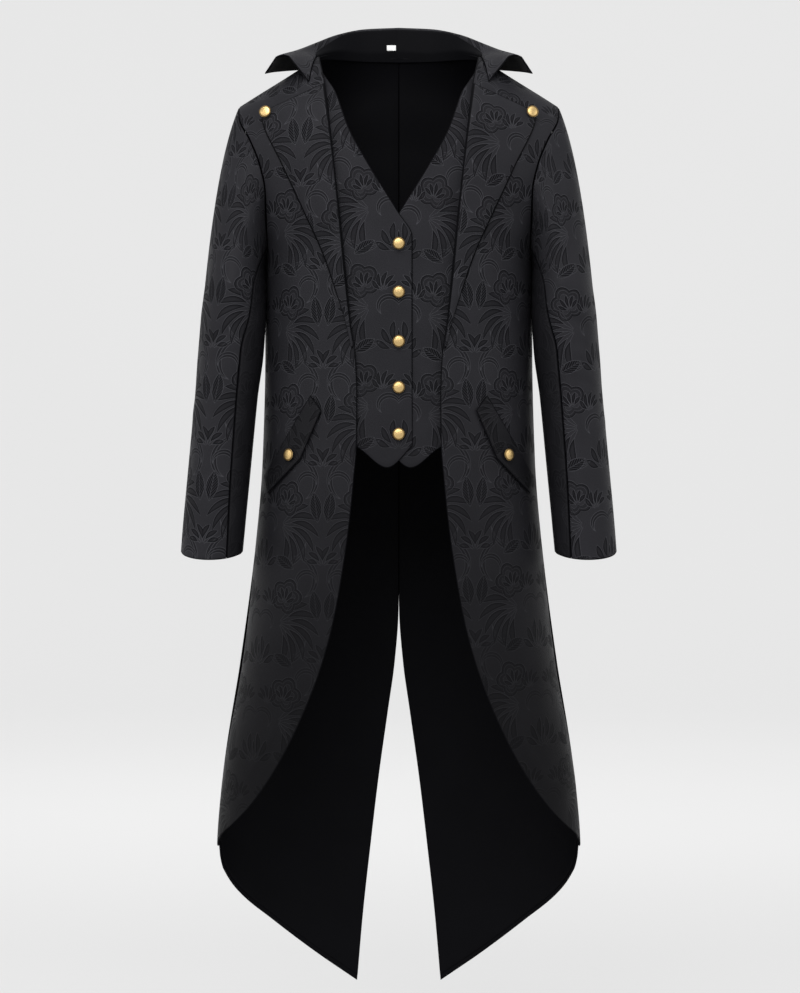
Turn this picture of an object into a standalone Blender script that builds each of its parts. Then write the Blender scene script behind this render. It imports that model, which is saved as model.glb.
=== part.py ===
"""Cutaway tailcoat with a built-in waistcoat front, filled out and hollow.

Each cut piece is a closed wall of cloth between two faces. All faces are read from one body surface, so that
pieces meet at their seams and layers lie on each other. Sizes are in millimetres. The front faces -Y, the
wearer's left is +X, +Z is up, and the origin is inside the neck, level with the tops of the shoulders.
"""

import math

import bmesh
import bpy
import numpy as np
from mathutils import Vector

MM = 0.001

# Walls and gaps
COAT_WALL = 2.0
LINING_WALL = 1.0
WAISTCOAT_WALL = 1.8
COLLAR_WALL = 2.2
TAB_WALL = 1.0
SEAM_GAP = 0.3
LAYER_GAP = 0.4
FRONT_LAYER_GAP = 0.7  # under lapels and flaps, whose cells don't follow the front's
COLLAR_SEAT = 1.9  # the collar stands this far above its seam
WAISTCOAT_DEPTH = 5.5  # the waistcoat lies this far inside the coat's outer face
OVERLAP_DEPTH = 2.4  # and the left waistcoat front this much further in
SLEEVE_CLEARANCE = 0.8  # between a sleeve and the coat's side

# Body surface
SECTION_POWER = 2.4  # 2 would make each section an ellipse
SHOULDER_POWER = 2.2
RIDGE_Y = 12.0  # the shoulder seam's place, front to back
FRONT_REACH = 150.0  # height in which the front rounds over into the shoulder
BACK_REACH = 110.0
SHOULDER_X = 224.0
UNDERARM = -290.0
RIDGE_START = 0.0004  # keeps the front and back apart at the shoulder seam

# Grid of the panels
YOKE = 0.2  # share of a panel's rows in which the shoulder rounds over
PANEL_COLUMNS = 8
LINING_INSET = 0.06  # how far the lining's border stands back, as a share of a row or column
FRONT_ROW = 46.0  # height of a row below the underarm
BACK_ROW = 42.0
FRONT_END_EDGE = -1088.0  # the cutaway edge reaches the side here
FRONT_END_SIDE = -1112.0  # and the side seam ends here
WAISTCOAT_TUCK = 28.0  # how far the waistcoat runs on under the coat front
WAISTCOAT_SHOULDER = 9.0  # and how far below the top of the shoulder it ends
WAISTCOAT_LAP = 19.0  # how far each waistcoat front runs past the centre
HEM_BLEND = 0.6  # share of the waistcoat's rows below which they follow its pointed hem

# Sleeves
TOP_STEPS = 7  # columns from the sleeve's outermost line to its seam
TOP_CROWDING = 1.3  # crowds them towards that line, where the shoulder rounds over
UNDER_STEPS = 3
ARMHOLE_SEAM = math.radians(150)
CAP_ROWS = 5
CAP_END = 0.28  # share of a sleeve's rows in its cap
ARM_ROWS = 13
CUFF = -640.0
HEM_DIP = 11.0  # how far the cuff's front and back hang below its outer and inner lines

# Collar
COLLAR_STATIONS = 22
FACING_STATIONS = 7
FACING_LIFT = 1.3  # between the stand and the facing, whose cells don't follow the stand's
FACING_REACH = (4.5, 1.8)  # stations at which the facing ends, at the neck seam and below the roll
FACING_TOP = 0.4  # and its share of the collar's profile

# Buttons
BUTTON_DIAMETER = 18.0
BUTTON_HEIGHT = 5.5
BUTTON_STEPS = 12

# Size tab
TAB_PLACE = -0.06  # share of the facing's length from its centre
TAB_LIFT = 0.8  # between the facing and the tab
TAB_WIDTH = 13.0
TAB_HEIGHT = 8.0


def table(names, *rows):
    """Rows as named columns, sorted by the first."""
    values = np.array(sorted(rows), float)
    return dict(zip(names.split(), values.T))


BODY = table(
    "height half_width front back side_y",
    (60, 275, 100, 92, 20),
    (-60, 262, 122, 98, 22),
    (-130, 238, 138, 102, 24),
    (-200, 214, 146, 102, 25),
    (-250, 198, 149, 101, 26),
    (UNDERARM, 187.8, 150, 100, 26),
    (-424, 187.6, 146, 92, 22),
    (-571, 191, 144, 98, 14),
    (-706, 202, 144, 108, 8),
    (-853, 220, 144, 118, 4),
    (-1030, 248, 144, 128, 0),
    (-1112, 254, 144, 132, 0),
    (-1330, 256, 144, 138, 0),
)

RIDGE = table(
    "x height",
    (0, 62),
    (40, 50),
    (76, 30),
    (100, 7),
    (112, -5),
    (141, -24.8),
    (220, -74),
    (240, -87),
)

# Seam between the coat and the collar, seen from above
NECK = table(
    "x y",
    (0, 102),
    (42, 96),
    (76, 76),
    (100, 42),
    (112, RIDGE_Y),
)

# Front edge of the coat: neck, lapel's fold, straight edge, cutaway
FRONT_EDGE = table(
    "height x",
    (-5, 112),
    (-57, 101),
    (-116, 93.5),
    (-192, 85),
    (-315, 72),
    (-393, 65),
    (-442, 58.5),
    (-494, 56.5),
    (-559, 57),
    (-607, 61),
    (-660, 66.5),
    (-706, 73),
    (-786, 87.5),
    (-855, 107),
    (-934, 139),
    (-993, 170),
    (-1044, 205),
    (FRONT_END_EDGE, 245.5),
)

ARMHOLE = table(
    "height front_x back_x",
    (-76, SHOULDER_X, SHOULDER_X),
    (-97, 222, 220),
    (-129, 206, 212),
    (-167, 191, 204),
    (-203, 184, 198),
    (-247, 184.5, 193),
    (UNDERARM, 187.8, 187.8),
)

# Centre-back edge: closed down to the vent, then open
VENT_EDGE = table(
    "height x",
    (100, 0),
    (-760, 0),
    (-790, 0.5),
    (-860, 6),
    (-931, 16),
    (-1023, 29),
    (-1132, 42),
    (-1223, 52),
    (-1322, 60.5),
)

HEM = table(
    "x height",
    (60.5, -1322),
    (121, -1279),
    (182, -1229.5),
    (226.5, -1186.5),
    (248.5, -1145),
    (254, FRONT_END_SIDE),
)

LAPEL = table(
    "row fold_x fold_height outer_x outer_height",
    (0, 101.5, -55, 189, -92),
    (0.05, 100.5, -62, 188.5, -103),
    (0.2, 92, -128, 160, -167.5),
    (0.4, 84, -198, 132, -228.5),
    (0.6, 77, -268, 104.5, -289.5),
    (0.8, 70.5, -338, 85.3, -344.5),
    (0.92, 66, -386, 71.7, -388),
    (1, 61.5, -420, 64, -421),
)

# Waistcoat neckline: x past the centre is negative
NECKLINE = table(
    "height x",
    (-16, 113),
    (-27.5, 110.5),
    (-65, 88.5),
    (-80, 82.5),
    (-123, 66.5),
    (-173, 39),
    (-236, 0),
    (-268, -WAISTCOAT_LAP),
    (-600, -WAISTCOAT_LAP),
)

WAISTCOAT_HEM = table(
    "x height",
    (-WAISTCOAT_LAP - 1, -552),
    (16, -583.5),
    (54, -558),
    (90, -540),
)

SLEEVE = table(
    "height x y half_width half_depth front_seam back_seam",
    (-330, 227.5, -22, 42.2, 73, 132, 128),
    (-375, 230, -25, 45.2, 70, 124, 122),
    (-424, 233.5, -27, 45.6, 66, 112, 116),
    (-487, 239.8, -30, 43.6, 63, 114, 116),
    (-594, 249.5, -38, 43.4, 58, 117, 118),
    (-661, 255.5, -44, 43.2, 55, 121, 120),
    (-698, 258.5, -48, 42.8, 53, 123, 122),
)

COLLAR = table(
    "station neck_x neck_y crest_x crest_y crest_z roll edge_x edge_y edge_z",
    (0, 0, 102, 0, 106, 52, 8, 0, 124, 2),
    (1, 42, 96, 46, 100, 49, 8, 51, 119, 0),
    (2, 76, 76, 84, 79, 38, 9, 97, 99, -6),
    (3, 100, 42, 112, 44, 21, 11, 137, 64, -15),
    (4, 112, RIDGE_Y, 133, 12, 6, 14, 163, 24, -23),
    (5, 117, -24, 146, -18, -4, 17, 178, -18, -31),
    (6, 123.5, -61, 151, -46, -11, 20, 185.5, -60, -39),
)

# Pocket flap: its seam runs from top to bottom, and its free edge from tip to corner to point
FLAP_SEAM = ((119.7, -484), (185, -594))
FLAP_FREE = ((104, -505.5), (132, -571), (178, -619))
FLAP_CORNER_AT = 0.52

WAISTCOAT_BUTTONS = (-278.5, -344.5, -411.5, -474, -537.5)
LAPEL_BUTTON = (180.5, -95)
FLAP_BUTTON = (146.5, -565.5)

JACQUARD = (0.036, 0.036, 0.040)
LINING_BLACK = (0.004, 0.004, 0.005)
BRASS = (0.56, 0.38, 0.14)
TAB_WHITE = (0.75, 0.75, 0.74)


# ---- Reading tables ----


def read(rows, column, at):
    """The column's monotone cubic, read at values of the first column."""
    knots, values = next(iter(rows.values())), rows[column]
    secant = np.diff(values) / np.diff(knots)
    slope = np.zeros(len(knots))
    level = secant[:-1] * secant[1:] > 0
    slope[1:-1][level] = (
        2 * (secant[:-1] * secant[1:])[level] / (secant[:-1] + secant[1:])[level]
    )
    slope[0], slope[-1] = secant[0], secant[-1]
    at = np.clip(at, knots[0], knots[-1])
    low = np.clip(np.searchsorted(knots, at) - 1, 0, len(knots) - 2)
    span = knots[low + 1] - knots[low]
    t = (at - knots[low]) / span
    return (
        values[low] * (1 + 2 * t) * (1 - t) ** 2
        + slope[low] * span * t * (1 - t) ** 2
        + values[low + 1] * t * t * (3 - 2 * t)
        - slope[low + 1] * span * t * t * (1 - t)
    )


def mix(low, high, share):
    return low + (high - low) * share


def points(x, y, z):
    return np.stack(np.broadcast_arrays(x, y, z), -1)


# ---- Body surface: turn is 0 at the centre front, 90 degrees at the side seam, 180 at the centre back ----


def section_x(turn, height):
    sine = np.sin(turn)
    return (
        read(BODY, "half_width", height)
        * np.sign(sine)
        * np.abs(sine) ** (2 / SECTION_POWER)
    )


def body(turn, height):
    """The coat's outer face."""
    cosine = np.cos(turn)
    front = cosine > 0
    depth = np.where(front, -read(BODY, "front", height), read(BODY, "back", height))
    x = section_x(turn, height)
    y = read(BODY, "side_y", height) + depth * np.abs(cosine) ** (2 / SECTION_POWER)
    drop = read(RIDGE, "height", np.abs(x)) - height
    share = np.clip(drop / np.where(front, FRONT_REACH, BACK_REACH), 0, 1)
    rounding = (1 - (1 - share) ** SHOULDER_POWER) ** (1 / SHOULDER_POWER)
    return points(x, RIDGE_Y + (y - RIDGE_Y) * rounding, height)


def turn_at(x, height, back=False):
    share = np.clip(np.abs(x) / read(BODY, "half_width", height), 0, 1)
    turn = np.arcsin(share ** (SECTION_POWER / 2)) * np.sign(x)
    return math.pi - turn if back else turn


def on_front(x, height):
    return body(turn_at(x, height), height)


def bent_height(x, bend, reach):
    """Height of the shoulder where it has rounded over by this bend, from 0 to 90 degrees."""
    return read(RIDGE, "height", np.abs(x)) - reach * (
        1 - np.cos(bend) ** (2 / SHOULDER_POWER)
    )


def settle(turn_of, bend_of, reach):
    """The height at which turn_of(height) has the bend that bend_of(x, height) gives."""
    height = np.full(np.shape(turn_of(0.0)), -60.0)
    for _ in range(14):
        x = np.abs(section_x(turn_of(height), height))
        height = bent_height(x, bend_of(x, height), reach)
    return height


def neck_bend(x, height):
    """Bend of the back's top edge: the neck seam, then none along the shoulder seam."""
    turn = turn_at(x, height, back=True)
    depth = read(BODY, "back", height) * np.abs(np.cos(turn)) ** (2 / SECTION_POWER)
    full = read(BODY, "side_y", height) + depth
    rounding = np.clip((read(NECK, "y", x) - RIDGE_Y) / (full - RIDGE_Y), 0, 1)
    return np.arcsin(rounding ** (SHOULDER_POWER / 2))


def armhole_turn(height, back):
    column = "back_x" if back else "front_x"
    turn = turn_at(read(ARMHOLE, column, height), height)
    turn = np.where(height > UNDERARM, turn, math.pi / 2)
    return math.pi - turn if back else turn


def panel_face(edge_turn, bottom, back):
    """A front's or back's face. across: 0 at the centre edge, 1 at the armhole and side. down: 0 at the top.

    edge_turn(height) gives the centre edge, and bottom(across) the hem's height.
    """
    reach = BACK_REACH if back else FRONT_REACH

    def side_turn(height):
        return armhole_turn(height, back)

    def face(across, down):
        across, down = np.broadcast_arrays(np.asarray(across, float), down)
        bend = np.clip(down / YOKE, 0, 1) * math.pi / 2

        def heights(turn_of, bend):
            if not back:
                return settle(turn_of, lambda x, height: bend, reach)
            return settle(
                turn_of,
                lambda x, height: mix(
                    neck_bend(x, height), math.pi / 2, bend * 2 / math.pi
                ),
                reach,
            )

        edge_height = heights(lambda h: edge_turn(h) + 0 * bend, bend)
        side_height = heights(lambda h: side_turn(h) + 0 * bend, bend)
        below = np.clip((down - YOKE) / (1 - YOKE), 0, 1)
        edge_height = mix(edge_height, bottom(0.0), below)
        side_height = mix(side_height, bottom(1.0), below)
        turn = mix(edge_turn(edge_height), side_turn(side_height), across)
        height = mix(heights(lambda h: turn + 0 * h, bend), bottom(across), below)
        return body(turn, height)

    return face


def front_edge_turn(height):
    return turn_at(read(FRONT_EDGE, "x", height), height)


def vent_edge_turn(height):
    return turn_at(read(VENT_EDGE, "x", height), height, back=True)


def front_bottom(across):
    return mix(FRONT_END_EDGE, FRONT_END_SIDE, across)


def back_bottom(across):
    """Height of the tail's hem."""
    tip = turn_at(HEM["x"][0], HEM["height"][0], back=True)
    return read(HEM, "height", section_x(mix(tip, math.pi / 2, across), HEM["height"].mean()))


FRONT = panel_face(front_edge_turn, front_bottom, back=False)
BACK = panel_face(vent_edge_turn, back_bottom, back=True)


# ---- Faces of the other pieces: across and down run from 0 to 1 ----


def lapel_face(across, down):
    x = mix(read(LAPEL, "fold_x", down), read(LAPEL, "outer_x", down), across)
    fold, outer = (
        read(LAPEL, "fold_height", down),
        read(LAPEL, "outer_height", down),
    )
    return on_front(x, mix(fold, outer, across))


def waistcoat_face(across, down):
    """From the neckline and centre edge to the line where it is sewn in under the coat front."""
    top, low = NECKLINE["height"][-1], WAISTCOAT_HEM["height"][0]

    def x_at(height):
        return mix(read(NECKLINE, "x", height), read(FRONT_EDGE, "x", height) + WAISTCOAT_TUCK, across)

    under_ridge = read(RIDGE, "height", np.abs(x_at(top))) - WAISTCOAT_SHOULDER
    height = mix(np.minimum(top, under_ridge), low, down)
    x = x_at(height)
    hem = read(WAISTCOAT_HEM, "height", x) - low
    height = height + hem * np.clip((down - HEM_BLEND) / (1 - HEM_BLEND), 0, 1)
    return on_front(x, height)


def flap_face(across, down):
    """across runs along the seam, from its top; down runs from the seam to the free edge."""
    (seam_x0, seam_z0), (seam_x1, seam_z1) = FLAP_SEAM
    knots = (0, FLAP_CORNER_AT, 1)
    free_x = np.interp(across, knots, [x for x, _ in FLAP_FREE])
    free_z = np.interp(across, knots, [z for _, z in FLAP_FREE])
    x = mix(mix(seam_x0, seam_x1, across), free_x, down)
    return on_front(x, mix(mix(seam_z0, seam_z1, across), free_z, down))


def armhole_point(around):
    """Point of the armhole. around: 0 at the shoulder, positive over the front, 180 degrees at the bottom."""
    top = read(RIDGE, "height", SHOULDER_X)
    height = mix(top, UNDERARM, (1 - np.cos(around)) / 2)
    front = body(armhole_turn(height, False), height)
    back = body(armhole_turn(height, True), height)
    return np.where((np.sin(around) >= 0)[..., None], front, back)


def sleeve_ring(around, height):
    """Point of a sleeve's ring, for the same angles."""
    x = read(SLEEVE, "x", height) + read(SLEEVE, "half_width", height) * np.cos(around)
    y = read(SLEEVE, "y", height) - read(SLEEVE, "half_depth", height) * np.sin(around)
    near_cuff = np.clip((CUFF - height) / (CUFF - SLEEVE["height"][0]), 0, 1)
    return points(x, y, height - HEM_DIP * np.abs(np.sin(around)) * near_cuff)


def clear_of_side(place):
    """Moves a sleeve's points out where they would cut into the coat's side."""
    x, y, height = place[..., 0], place[..., 1], place[..., 2]
    across = y - read(BODY, "side_y", height)
    depth = np.where(
        across < 0, read(BODY, "front", height), read(BODY, "back", height)
    )
    share = np.clip(np.abs(across) / depth, 0, 1)
    side = read(BODY, "half_width", height) * (1 - share**SECTION_POWER) ** (
        1 / SECTION_POWER
    )
    held = np.where(height < UNDERARM + 4, np.maximum(x, side + SLEEVE_CLEARANCE), x)
    return points(held, y, height)


def sleeve_point(around, down):
    """around as in armhole_point. down: the cap runs from 0 to CAP_END, the arm to 1."""
    cap = np.clip(down / CAP_END, 0, 1)[..., None]
    arm = np.clip((down - CAP_END) / (1 - CAP_END), 0, 1)
    top, low = SLEEVE["height"][-1], SLEEVE["height"][0]
    start = armhole_point(around) + points(SEAM_GAP, 0, -SEAM_GAP * np.cos(around))
    ring = sleeve_ring(around, mix(top, low, arm))
    shoulder = sleeve_ring(around, top + 0 * arm)
    drop = (0.27 + 0.1 * (1 - np.cos(around)) / 2)[..., None]
    pull = mix(start, shoulder, np.concatenate([0.62 + 0 * drop, 0.5 + 0 * drop, drop], -1))
    curved = (1 - cap) ** 2 * start + 2 * cap * (1 - cap) * pull + cap**2 * shoulder
    return clear_of_side(np.where(cap < 1, curved, ring))


def seam_angles(down):
    """The angles of the front and back sleeve seams at this row."""
    arm = np.clip((down - CAP_END) / (1 - CAP_END), 0, 1)
    height = mix(SLEEVE["height"][-1], SLEEVE["height"][0], arm)
    cap = np.clip(down / CAP_END, 0, 1)
    front = mix(ARMHOLE_SEAM, np.radians(read(SLEEVE, "front_seam", height)), cap)
    back = mix(ARMHOLE_SEAM, np.radians(read(SLEEVE, "back_seam", height)), cap)
    return front, back


def top_sleeve_face(across, down):
    front, back = seam_angles(down)
    share = np.abs(1 - 2 * across) ** TOP_CROWDING
    return sleeve_point(np.where(across < 0.5, front * share, -back * share), down)


def under_sleeve_face(across, down):
    front, back = seam_angles(down)
    half = np.where(across < 0.5, 2 * across, 2 - 2 * across)
    side = np.where(across < 0.5, front, back)
    around = mix(side, math.pi, half) * np.where(across < 0.5, 1, -1)
    return sleeve_point(around, down)


def neck_point(station):
    """The collar seam: on the back's neck edge behind the shoulder seam, on the front before it."""
    x, y = read(COLLAR, "neck_x", station), read(COLLAR, "neck_y", station)
    back = y > RIDGE_Y
    reach = np.where(back, BACK_REACH, FRONT_REACH)
    height = np.full(np.shape(x), 0.0)
    for _ in range(14):
        turn = turn_at(x, height)
        depth = np.where(back, read(BODY, "back", height), -read(BODY, "front", height))
        full = read(BODY, "side_y", height) + depth * np.cos(turn) ** (
            2 / SECTION_POWER
        )
        rounding = np.clip((y - RIDGE_Y) / (full - RIDGE_Y), 0, 1)
        height = bent_height(x, np.arcsin(rounding ** (SHOULDER_POWER / 2)), reach)
    return points(x, y, height)


# The collar's profile: from the neck up to the crest (rise), out over the roll (roll), down again (fall)
PROFILE = table(
    "down rise fall roll",
    (0, 0, 0, 0),
    (0.22, 0.5, 0, 0),
    (0.42, 0.93, 0, 0),
    (0.5, 1.0, 0, 0.5),
    (0.58, 0.93, 0.06, 1),
    (0.78, 0.93, 0.5, 1),
    (1, 0.93, 1, 1),
)


def collar_face(across, down):
    """across: -1 at the wearer's right end, 1 at the left. down: 0 at the seam, 0.5 on the roll, then 1."""
    across, down = np.broadcast_arrays(np.asarray(across, float), down)
    last = COLLAR["station"][-1]
    side, station = np.where(across < 0, -1, 1), np.abs(across) * last
    neck = neck_point(station) + points(0, 0, COLLAR_SEAT)
    crest = points(*[read(COLLAR, "crest_" + axis, station) for axis in "xyz"])
    edge = points(*[read(COLLAR, "edge_" + axis, station) for axis in "xyz"])
    outward = (edge - crest) * (1, 1, 0)
    outward /= np.linalg.norm(outward, axis=-1, keepdims=True)
    rise, fall, roll = (
        np.interp(down, PROFILE["down"], PROFILE[name])[..., None]
        for name in ("rise", "fall", "roll")
    )
    over = crest + outward * read(COLLAR, "roll", station)[..., None] * roll
    place = neck + (over - neck) * (1, 1, 0) * np.minimum(rise / 0.93, 1)
    lift = (crest - neck)[..., 2:] * rise
    place = place + points(0, 0, 1) * lift
    shoulder = over * (1, 1, 0) + points(0, 0, 1) * (neck[..., 2:] + lift)
    place = np.where(fall > 0, mix(shoulder, edge, fall), place)
    return place * points(side, 1, 1)


def facing_face(across, down):
    """The inside of the stand, between the slanted ends of the facing."""
    reach = mix(*FACING_REACH, down) / COLLAR["station"][-1]
    return collar_face(across * reach, mix(0.03, FACING_TOP, down))


# ---- Building ----


def outward_normals(face, across, down, inside):
    """Unit normals of a face, pointing away from the point `inside`."""
    step = 1e-3
    low, high = np.maximum(across - step, across.min()), np.minimum(across + step, across.max())
    up, under = np.maximum(down - step, down.min()), np.minimum(down + step, down.max())
    normal = np.cross(face(high, down) - face(low, down), face(across, under) - face(across, up))
    normal /= np.linalg.norm(normal, axis=-1, keepdims=True)
    middle = tuple(size // 2 for size in across.shape)
    away = face(across, down)[middle] - np.array(inside, float)
    return normal if np.dot(normal[middle], away) > 0 else -normal


def material(name, color, roughness, metallic=0.0):
    made = bpy.data.materials.new(name)
    made.use_nodes = True
    shader = made.node_tree.nodes["Principled BSDF"]
    shader.inputs["Base Color"].default_value = (*color, 1)
    shader.inputs["Roughness"].default_value = roughness
    shader.inputs["Metallic"].default_value = metallic
    return made


def keep(name, vertices, faces, finish, smooth=True):
    """A mesh object in the garment's collection, its faces turned outwards."""
    mesh = bpy.data.meshes.new(name)
    mesh.from_pydata([tuple(v) for v in vertices], [], faces)
    made = bmesh.new()
    made.from_mesh(mesh)
    bmesh.ops.recalc_face_normals(made, faces=made.faces)
    made.to_mesh(mesh)
    made.free()
    mesh.materials.append(finish)
    if smooth:
        mesh.shade_smooth()
        mesh.set_sharp_from_angle(angle=math.radians(40))
    piece = bpy.data.objects.new(name, mesh)
    bpy.data.collections["Tailcoat"].objects.link(piece)
    return piece


def wall(
    name, face, columns, rows, thick, finish,
    inside=(0, 0, -500), lift=0.0, side=1, ends=(1, 1), lean=None, border=0.0,
):
    """A closed wall between a face moved out by `lift` and the same face `thick` further in.

    columns and rows are the shares at which the face is read. ends trims half a seam gap from each end of the
    columns, lean turns the directions of the wall's depth, and border draws all four edges in by that share of
    a cell.
    """
    across, down = np.meshgrid(columns, rows)
    width = np.linalg.norm(
        face(across[:, -1], down[:, -1]) - face(across[:, 0], down[:, 0]), axis=-1
    )
    trim = (columns[-1] - columns[0]) * (SEAM_GAP / 2 / width)[:, None]
    share = (across - columns[0]) / (columns[-1] - columns[0])
    across = across + trim * (ends[0] * (1 - share) - ends[1] * share)
    normal = outward_normals(face, across, down, inside)
    outer = face(across, down) + normal * lift
    inward = -normal if lean is None else lean(-normal, outer)
    inner = outer + inward * thick
    outer, inner = draw_in(outer, border), draw_in(inner, border)
    mirror = np.array((side, 1, 1))
    vertices = np.concatenate([outer.reshape(-1, 3), inner.reshape(-1, 3)]) * mirror * MM
    keep(name, vertices, wall_faces(*across.shape), finish)


def wall_faces(rows, columns):
    """Triangles of two grids, one behind the other, and quads of the strip that joins their borders.

    Every cell is split along the same diagonal, so that layers made from one grid stay parallel.
    """
    count = rows * columns
    made = []
    for r in range(rows - 1):
        for c in range(columns - 1):
            a = r * columns + c
            far = a + columns + 1
            for triangle in ((a, a + 1, far), (a, far, a + columns)):
                made.append(triangle)
                made.append(tuple(v + count for v in reversed(triangle)))
    rim = (
        [c for c in range(columns)]
        + [r * columns + columns - 1 for r in range(1, rows)]
        + [(rows - 1) * columns + c for c in range(columns - 2, -1, -1)]
        + [r * columns for r in range(rows - 2, 0, -1)]
    )
    for a, b in zip(rim, rim[1:] + rim[:1]):
        made.append((b, a, a + count, b + count))
    return made


def shares(count):
    return np.linspace(0, 1, count + 1)


def draw_in(grid, border):
    """Moves the grid's border towards the next points, along its own cells."""
    for _ in range(2):
        grid[0], grid[-1] = mix(grid[0], grid[1], border), mix(grid[-1], grid[-2], border)
        grid = grid.swapaxes(0, 1)
    return grid


def rows_at(face, armhole, lowest, step):
    """The panel rows whose side ends meet the armhole's angles, then even rows down to the hem."""
    fine = np.concatenate([np.linspace(RIDGE_START * YOKE, YOKE, 200), np.linspace(YOKE, 1, 400)[1:]])
    side = face(np.ones_like(fine), fine)[:, 2]
    below = np.linspace(UNDERARM, lowest, round((UNDERARM - lowest) / step) + 1)[1:]
    wanted = np.concatenate([armhole[1:], below])
    return np.concatenate([[fine[0]], np.interp(-wanted, -side, fine)])


def armhole_heights():
    around = np.concatenate(
        [
            ARMHOLE_SEAM * shares(TOP_STEPS) ** TOP_CROWDING,
            np.linspace(ARMHOLE_SEAM, math.pi, UNDER_STEPS + 1)[1:],
        ]
    )
    return armhole_point(around)[:, 2]


def coat_panels(cloth, black):
    heights = armhole_heights()
    front_rows = rows_at(FRONT, heights, FRONT_END_SIDE, FRONT_ROW)
    back_rows = rows_at(BACK, heights, FRONT_END_SIDE, BACK_ROW)
    for name, side in SIDES:
        wall("front_" + name, FRONT, shares(PANEL_COLUMNS), front_rows, COAT_WALL, cloth, side=side)
        wall("back_" + name, BACK, shares(PANEL_COLUMNS), back_rows, COAT_WALL, cloth, side=side)
        wall(
            "lining_" + name, BACK, shares(PANEL_COLUMNS), back_rows, LINING_WALL, black,
            lift=-COAT_WALL - LAYER_GAP, side=side, border=LINING_INSET,
        )


def armhole_lean(steps, first, last):
    """Turns a sleeve's top rim to lie along the coat's rim, where the two walls would meet inside.

    The sleeve's columns stand at the armhole's steps from first to last on the front, and back again behind.
    """
    heights = armhole_heights()
    coat = []
    for face, lowest, step in ((FRONT, FRONT_END_SIDE, FRONT_ROW), (BACK, FRONT_END_SIDE, BACK_ROW)):
        down = rows_at(face, heights, lowest, step)[: len(heights)]
        grid = np.meshgrid((0.98, 1.0), down)
        coat.append(outward_normals(face, *grid, inside=(0, 0, -500))[:, 1])
    order = np.concatenate([np.linspace(first, last, steps + 1), np.linspace(last, first, steps + 1)[1:]])
    order = order.round().astype(int)
    rim = np.where((np.arange(2 * steps + 1) <= steps)[:, None], coat[0][order], coat[1][order])

    def lean(inward, outer):
        along = outer[1] - outer[0]
        along /= np.linalg.norm(along, axis=-1, keepdims=True)
        outwards = (along * rim).sum(-1, keepdims=True)
        turned = mix(inward[0], -rim, np.clip(0.5 - 2 * outwards, 0, 1))
        inward[0] = turned / np.linalg.norm(turned, axis=-1, keepdims=True)
        return inward

    return lean


def sleeves(cloth):
    top_columns, under_columns = shares(2 * TOP_STEPS), shares(2 * UNDER_STEPS)
    top_lean = armhole_lean(TOP_STEPS, TOP_STEPS, 0)
    under_lean = armhole_lean(UNDER_STEPS, TOP_STEPS, TOP_STEPS + UNDER_STEPS)
    rows = np.concatenate(
        [np.linspace(0, CAP_END, CAP_ROWS + 1), np.linspace(CAP_END, 1, ARM_ROWS + 1)[1:]]
    )
    middle = (230, -20, -300)
    for name, side in SIDES:
        wall(
            "sleeve_top_" + name, top_sleeve_face, top_columns, rows, COAT_WALL, cloth, middle,
            side=side, lean=top_lean,
        )
        wall(
            "sleeve_under_" + name, under_sleeve_face, under_columns, rows, COAT_WALL, cloth, middle,
            side=side, lean=under_lean,
        )


def layers(cloth):
    """Lapels, waistcoat fronts and pocket flaps, each from its panel's face moved out or in."""
    to_corner, past_corner = mix(0, FLAP_CORNER_AT, shares(5)), mix(FLAP_CORNER_AT, 1, shares(5))
    flap_columns = np.concatenate([to_corner, past_corner[1:]])
    for name, side in SIDES:
        under = OVERLAP_DEPTH if side > 0 else 0
        wall(
            "lapel_" + name, lapel_face, shares(7), shares(18) ** 1.2, COAT_WALL, cloth,
            lift=COAT_WALL + FRONT_LAYER_GAP, side=side,
        )
        wall(
            "waistcoat_" + name, waistcoat_face, shares(7), shares(20), WAISTCOAT_WALL, cloth,
            lift=-WAISTCOAT_DEPTH - under, side=side,
        )
        wall(
            "flap_" + name, flap_face, flap_columns, shares(5), COAT_WALL, cloth,
            lift=COAT_WALL + FRONT_LAYER_GAP, side=side,
        )


def collar(cloth, black):
    across = np.linspace(-1, 1, COLLAR_STATIONS + 1)
    down = np.concatenate([np.linspace(0, 0.42, 4), (0.46, 0.5, 0.54), np.linspace(0.58, 1, 4)])

    def lean(inward, outer):
        """The seam's rim lies level, so that it stands clear of the sloping shoulder."""
        inward[0, :, 2] = 0
        inward[0] /= np.linalg.norm(inward[0], axis=-1, keepdims=True)
        return inward

    wall("collar", collar_face, across, down, COLLAR_WALL, cloth, inside=(0, 130, 0), ends=(0, 0), lean=lean)
    wall(
        "neck_facing", facing_face, np.linspace(-1, 1, 2 * FACING_STATIONS + 1), shares(3), LINING_WALL,
        black, inside=(0, 130, 0), lift=LINING_WALL + FACING_LIFT, ends=(0, 0),
    )


def size_tab(white):
    """A blank woven tab, its back on the facing, just above the nape's seam."""
    seam, above = (facing_face(np.array([TAB_PLACE]), np.array([down])) for down in (0.0, 0.5))
    up = Vector((above - seam)[0]).normalized()
    away = Vector((0, -up.z, up.y))
    depth = FACING_LIFT + LINING_WALL + TAB_LIFT + TAB_WALL / 2
    centre = Vector(seam[0]) + up * (TAB_HEIGHT / 2 + 1) + away * depth
    bpy.ops.mesh.primitive_cube_add(size=1, location=centre * MM)
    tab = bpy.context.object
    tab.name = tab.data.name = "size_tab"
    tab.scale = Vector((TAB_WIDTH, TAB_HEIGHT, TAB_WALL)) * MM
    tab.rotation_euler = (math.atan2(up.z, up.y), 0, 0)
    bpy.ops.object.transform_apply(location=False, rotation=True, scale=True)
    tab.data.materials.append(white)
    for holder in tab.users_collection:
        holder.objects.unlink(tab)
    bpy.data.collections["Tailcoat"].objects.link(tab)


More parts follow.
